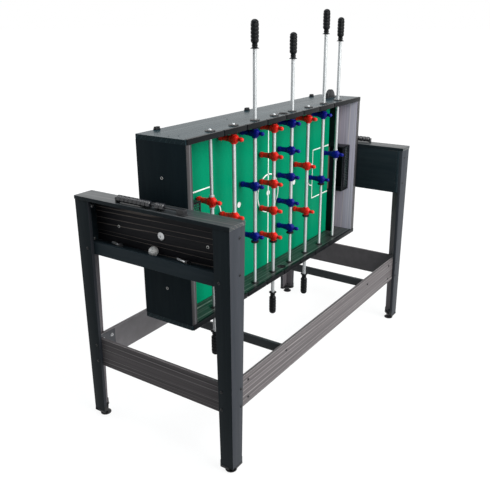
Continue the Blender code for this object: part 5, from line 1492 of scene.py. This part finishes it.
RED, NAVY = (0.680, 0.016, 0.008), (0.0015, 0.006, 0.190)
FIGURE = (
    (0.0566, 0.0084, 0.0070, 4.0), (0.0560, 0.0095, 0.0081, 4.0), (0.0538, 0.0100, 0.0086, 4.0),
    (0.0530, 0.0096, 0.0082, 4.0), (0.0522, 0.0101, 0.0087, 4.0), (0.0502, 0.0103, 0.0089, 4.0),
    (0.0494, 0.0098, 0.0084, 4.0), (0.0486, 0.0102, 0.0088, 4.0), (0.0460, 0.0098, 0.0085, 3.6),
    (0.0448, 0.0089, 0.0077, 2.8), (0.0392, 0.0086, 0.0075, 2.5), (0.0376, 0.0086, 0.0075, 2.5),
    (0.0368, 0.0092, 0.0081, 2.5), (0.0348, 0.0093, 0.0082, 2.5), (0.0340, 0.0088, 0.0077, 2.5),
    (0.0285, 0.0095, 0.0083, 2.5), (0.0225, 0.0101, 0.0088, 2.5), (0.0180, 0.0105, 0.0090, 2.5),
    (0.0172, 0.0114, 0.0097, 2.7), (0.0110, 0.0128, 0.0104, 2.7), (0.0062, 0.0138, 0.0108, 2.7),
    (0.0054, 0.0134, 0.0105, 2.7), (0.0046, 0.0141, 0.0109, 2.7), (-0.0020, 0.0152, 0.0110, 2.7),
    (-0.0070, 0.0148, 0.0106, 2.5), (-0.0106, 0.0122, 0.0092, 2.3), (-0.0132, 0.0080, 0.0070, 2.1),
    (-0.0148, 0.0060, 0.0058, 2.0), (-0.0168, 0.0058, 0.0057, 2.0), (-0.0186, 0.0066, 0.0065, 2.0),
    (-0.0216, 0.0074, 0.0073, 2.0), (-0.0250, 0.0071, 0.0070, 2.0), (-0.0276, 0.0057, 0.0056, 2.0),
    (-0.0290, 0.0036, 0.0036, 2.0), (-0.0297, 0.0012, 0.0012, 2.0),
)
FIGURE_SIDES, HEAD_SHARE = 28, 1.28
BOSS_RADIUS, BOSS_HALF = 0.0094, 0.0164
BOSS = ((0.0070, 1.0), (0.0084, 0.99), (BOSS_RADIUS, 0.94), (BOSS_RADIUS, 0.78), (0.0086, 0.70))
ARM_RADIUS, ARM_X, ARM_BEND, ARM_START, ARM_LENGTH = 0.0030, 0.0088, 0.0010, -0.0062, 0.0200
ARM_STEPS, ARM_SIDES, ARM_FLAT = 12, 12, 1.25


def figure_ring(x, y, z, half_width, half_depth, square):
    """A rounded-square section across a figure, wider along the rod."""
    ring = []
    for angle in turns(FIGURE_SIDES, 0.5):
        c, s = cos(angle), sin(angle)
        reach = (abs(c) ** square + abs(s) ** square) ** (-1 / square)
        ring.append((x + half_depth * reach * c, y, z + half_width * reach * s))
    return ring


def arm_into(bm, x, z, way):
    """An arm lying down the figure's side, from the shoulder to the hip."""
    rings = []
    for step in range(ARM_STEPS + 1):
        share = step / ARM_STEPS
        y = RODS_Y + ARM_START + share * ARM_LENGTH
        swell = ARM_RADIUS * max(sin(pi * min(1.0, 0.08 + 0.92 * share) ** 0.8), 0.12)
        bend = x + way * (ARM_X - ARM_BEND * abs(2 * share - 1) ** 2)
        rings.append([
            (bend + swell * cos(angle), y, z + swell * ARM_FLAT * sin(angle)) for angle in turns(ARM_SIDES)
        ])
    loft_into(bm, rings)


def figure_into(bm, x, z):
    """One figure with its toes towards the field."""
    rings = []
    for along, half_width, half_depth, square in FIGURE:
        away = along if along > 0 else along * HEAD_SHARE
        rings.append(figure_ring(x, RODS_Y + away, z, half_width, half_depth, square))
    loft_into(bm, rings)
    for way in WAYS:
        boss = [(radius, share * BOSS_HALF) for radius, share in BOSS]
        turned_into(bm, boss, (x, RODS_Y, z), "Z", 28, way)
        arm_into(bm, x, z, way)


plastics = {
    "red": moulded("player_red_plastic", RED, (0.26, 0.38), 300.0, 0.22, 0.06),
    "blue": moulded("player_navy_plastic", NAVY, (0.22, 0.34), 300.0, 0.14, 0.03),
}
for label, team, (x, y, z), sign, top, heights in each_rod():
    figures = bmesh.new()
    for height in heights:
        figure_into(figures, x, height)
    piece(f"{label}_players", figures, plastics[team], f"{label}_slider", (), 48)

# The bumpers.
# Black rubber rings beside the outer players of each rod, with two grooves that let them squash
# against the bearing seats. The goalkeepers' rods have only a slim ring there.

BUMPER_RADIUS, KEEPER_RADIUS, GROOVE = 0.0143, 0.0088, 0.0009
rubber = moulded("bumper_black_rubber", (0.008, 0.008, 0.009), (0.5, 0.66), 500.0, 0.2)
base = PLAYER_HALF + FIT
for label, team, (x, y, z), sign, top, heights in each_rod():
    rim, ring_finish = (KEEPER_RADIUS, chrome) if len(heights) == 1 else (BUMPER_RADIUS, rubber)
    profile = (
        (TUBE_RADIUS + 0.0001, base), (rim - 0.0014, base), (rim - 0.0003, base + 0.0006),
        (rim, base + 0.0016), (rim - GROOVE, base + BUMPER_HIGH * 0.36), (rim, base + BUMPER_HIGH * 0.48),
        (rim - GROOVE, base + BUMPER_HIGH * 0.60), (rim, base + BUMPER_HIGH * 0.74),
        (rim - 0.0010, base + BUMPER_HIGH - 0.0004), (TUBE_RADIUS + 0.0006, base + BUMPER_HIGH),
        (TUBE_RADIUS + 0.0001, base + BUMPER_HIGH),
    )
    bumpers = bmesh.new()
    for way, height in ((1, heights[-1]), (-1, heights[0])):
        turned_into(bumpers, profile, (x, y, height), "Z", 36, way, closed=True)
    piece(f"{label}_bumpers", bumpers, ring_finish, f"{label}_slider", (), 40)

# The handles.
# Black grips pushed and glued over the tubes: a thin rim, a stepped neck, and a grip cut into pads by
# rings and flutes so that it doesn't slip when a shot is spun, rounded at the end.

HANDLE_RIM, RIM_HIGH, NECK_RADIUS, NECK, STEP = 0.0145, 0.0030, 0.0090, 0.0170, 0.0012
GRIP_RADIUS, GRIP, GRIP_RINGS, GRIP_SIDES = 0.0135, 0.0710, 78, 48
PAD_ROWS, RING_DEPTH, RING_SHARE, FLUTES, FLUTE_DEPTH, FLUTE_SHARPNESS = 6, 0.00140, 0.20, 8, 0.00100, 6
BARREL, DOME_SHARE, PAD_FADE = 0.035, 0.83, 0.05
handle_rubber = moulded("handle_black_grip", (0.0025, 0.0035, 0.0045), (0.20, 0.30), 420.0, 0.10)


def grip_radius(share, angle):
    """The grip's surface: padded between its rings and flutes, drawn in to a rounded tip."""
    pads = share * PAD_ROWS % 1.0
    ring = RING_DEPTH * max(0.0, 1 - min(pads, 1 - pads) / RING_SHARE)
    flute = FLUTE_DEPTH * max(0.0, cos(FLUTES * angle)) ** FLUTE_SHARPNESS
    barrel = 1.0 - BARREL * (2 * share - 1) ** 2
    past = max(0.0, share - DOME_SHARE)
    tip = max(0.0004, 1 - (past / (1 - DOME_SHARE)) ** 2) ** 0.5
    return (GRIP_RADIUS * barrel - max(0.0, 1 - past / PAD_FADE) * max(ring, flute)) * tip


for label, team, (x, y, z), sign, start, heights in each_rod():
    neck, grip_start = start + RIM_HIGH, start + RIM_HIGH + NECK
    handle = bmesh.new()
    collar = (
        (TUBE_RADIUS + 0.0002, start), (HANDLE_RIM - 0.0006, start), (HANDLE_RIM, start + 0.0005),
        (HANDLE_RIM, start + 0.0014), (HANDLE_RIM - 0.0014, start + 0.0022),
        (NECK_RADIUS + 0.0018, neck + 0.0002), (NECK_RADIUS, neck + 0.0022), (NECK_RADIUS, neck + 0.0052),
        (NECK_RADIUS + STEP, neck + 0.0060), (NECK_RADIUS + STEP, neck + 0.0078),
        (NECK_RADIUS, neck + 0.0086), (NECK_RADIUS, grip_start - 0.0030),
        (GRIP_RADIUS * 0.86, grip_start - 0.0004), (GRIP_RADIUS * 0.80, grip_start + 0.0006),
        (TUBE_RADIUS + 0.0002, grip_start + 0.0006),
    )
    turned_into(handle, collar, (x, y, z), "Z", 40, sign, closed=True)
    rings = []
    for step in range(GRIP_RINGS + 1):
        share = step / GRIP_RINGS
        height = z + sign * (grip_start + share * GRIP)
        around = [(grip_radius(share, angle), angle) for angle in turns(GRIP_SIDES)]
        rings.append([(x + radius * cos(angle), y + radius * sin(angle), height) for radius, angle in around])
    loft_into(handle, rings)
    name = f"{label}_handle"
    piece(f"{name}_grip", handle, handle_rubber, f"{label}_slider", [name], 50)
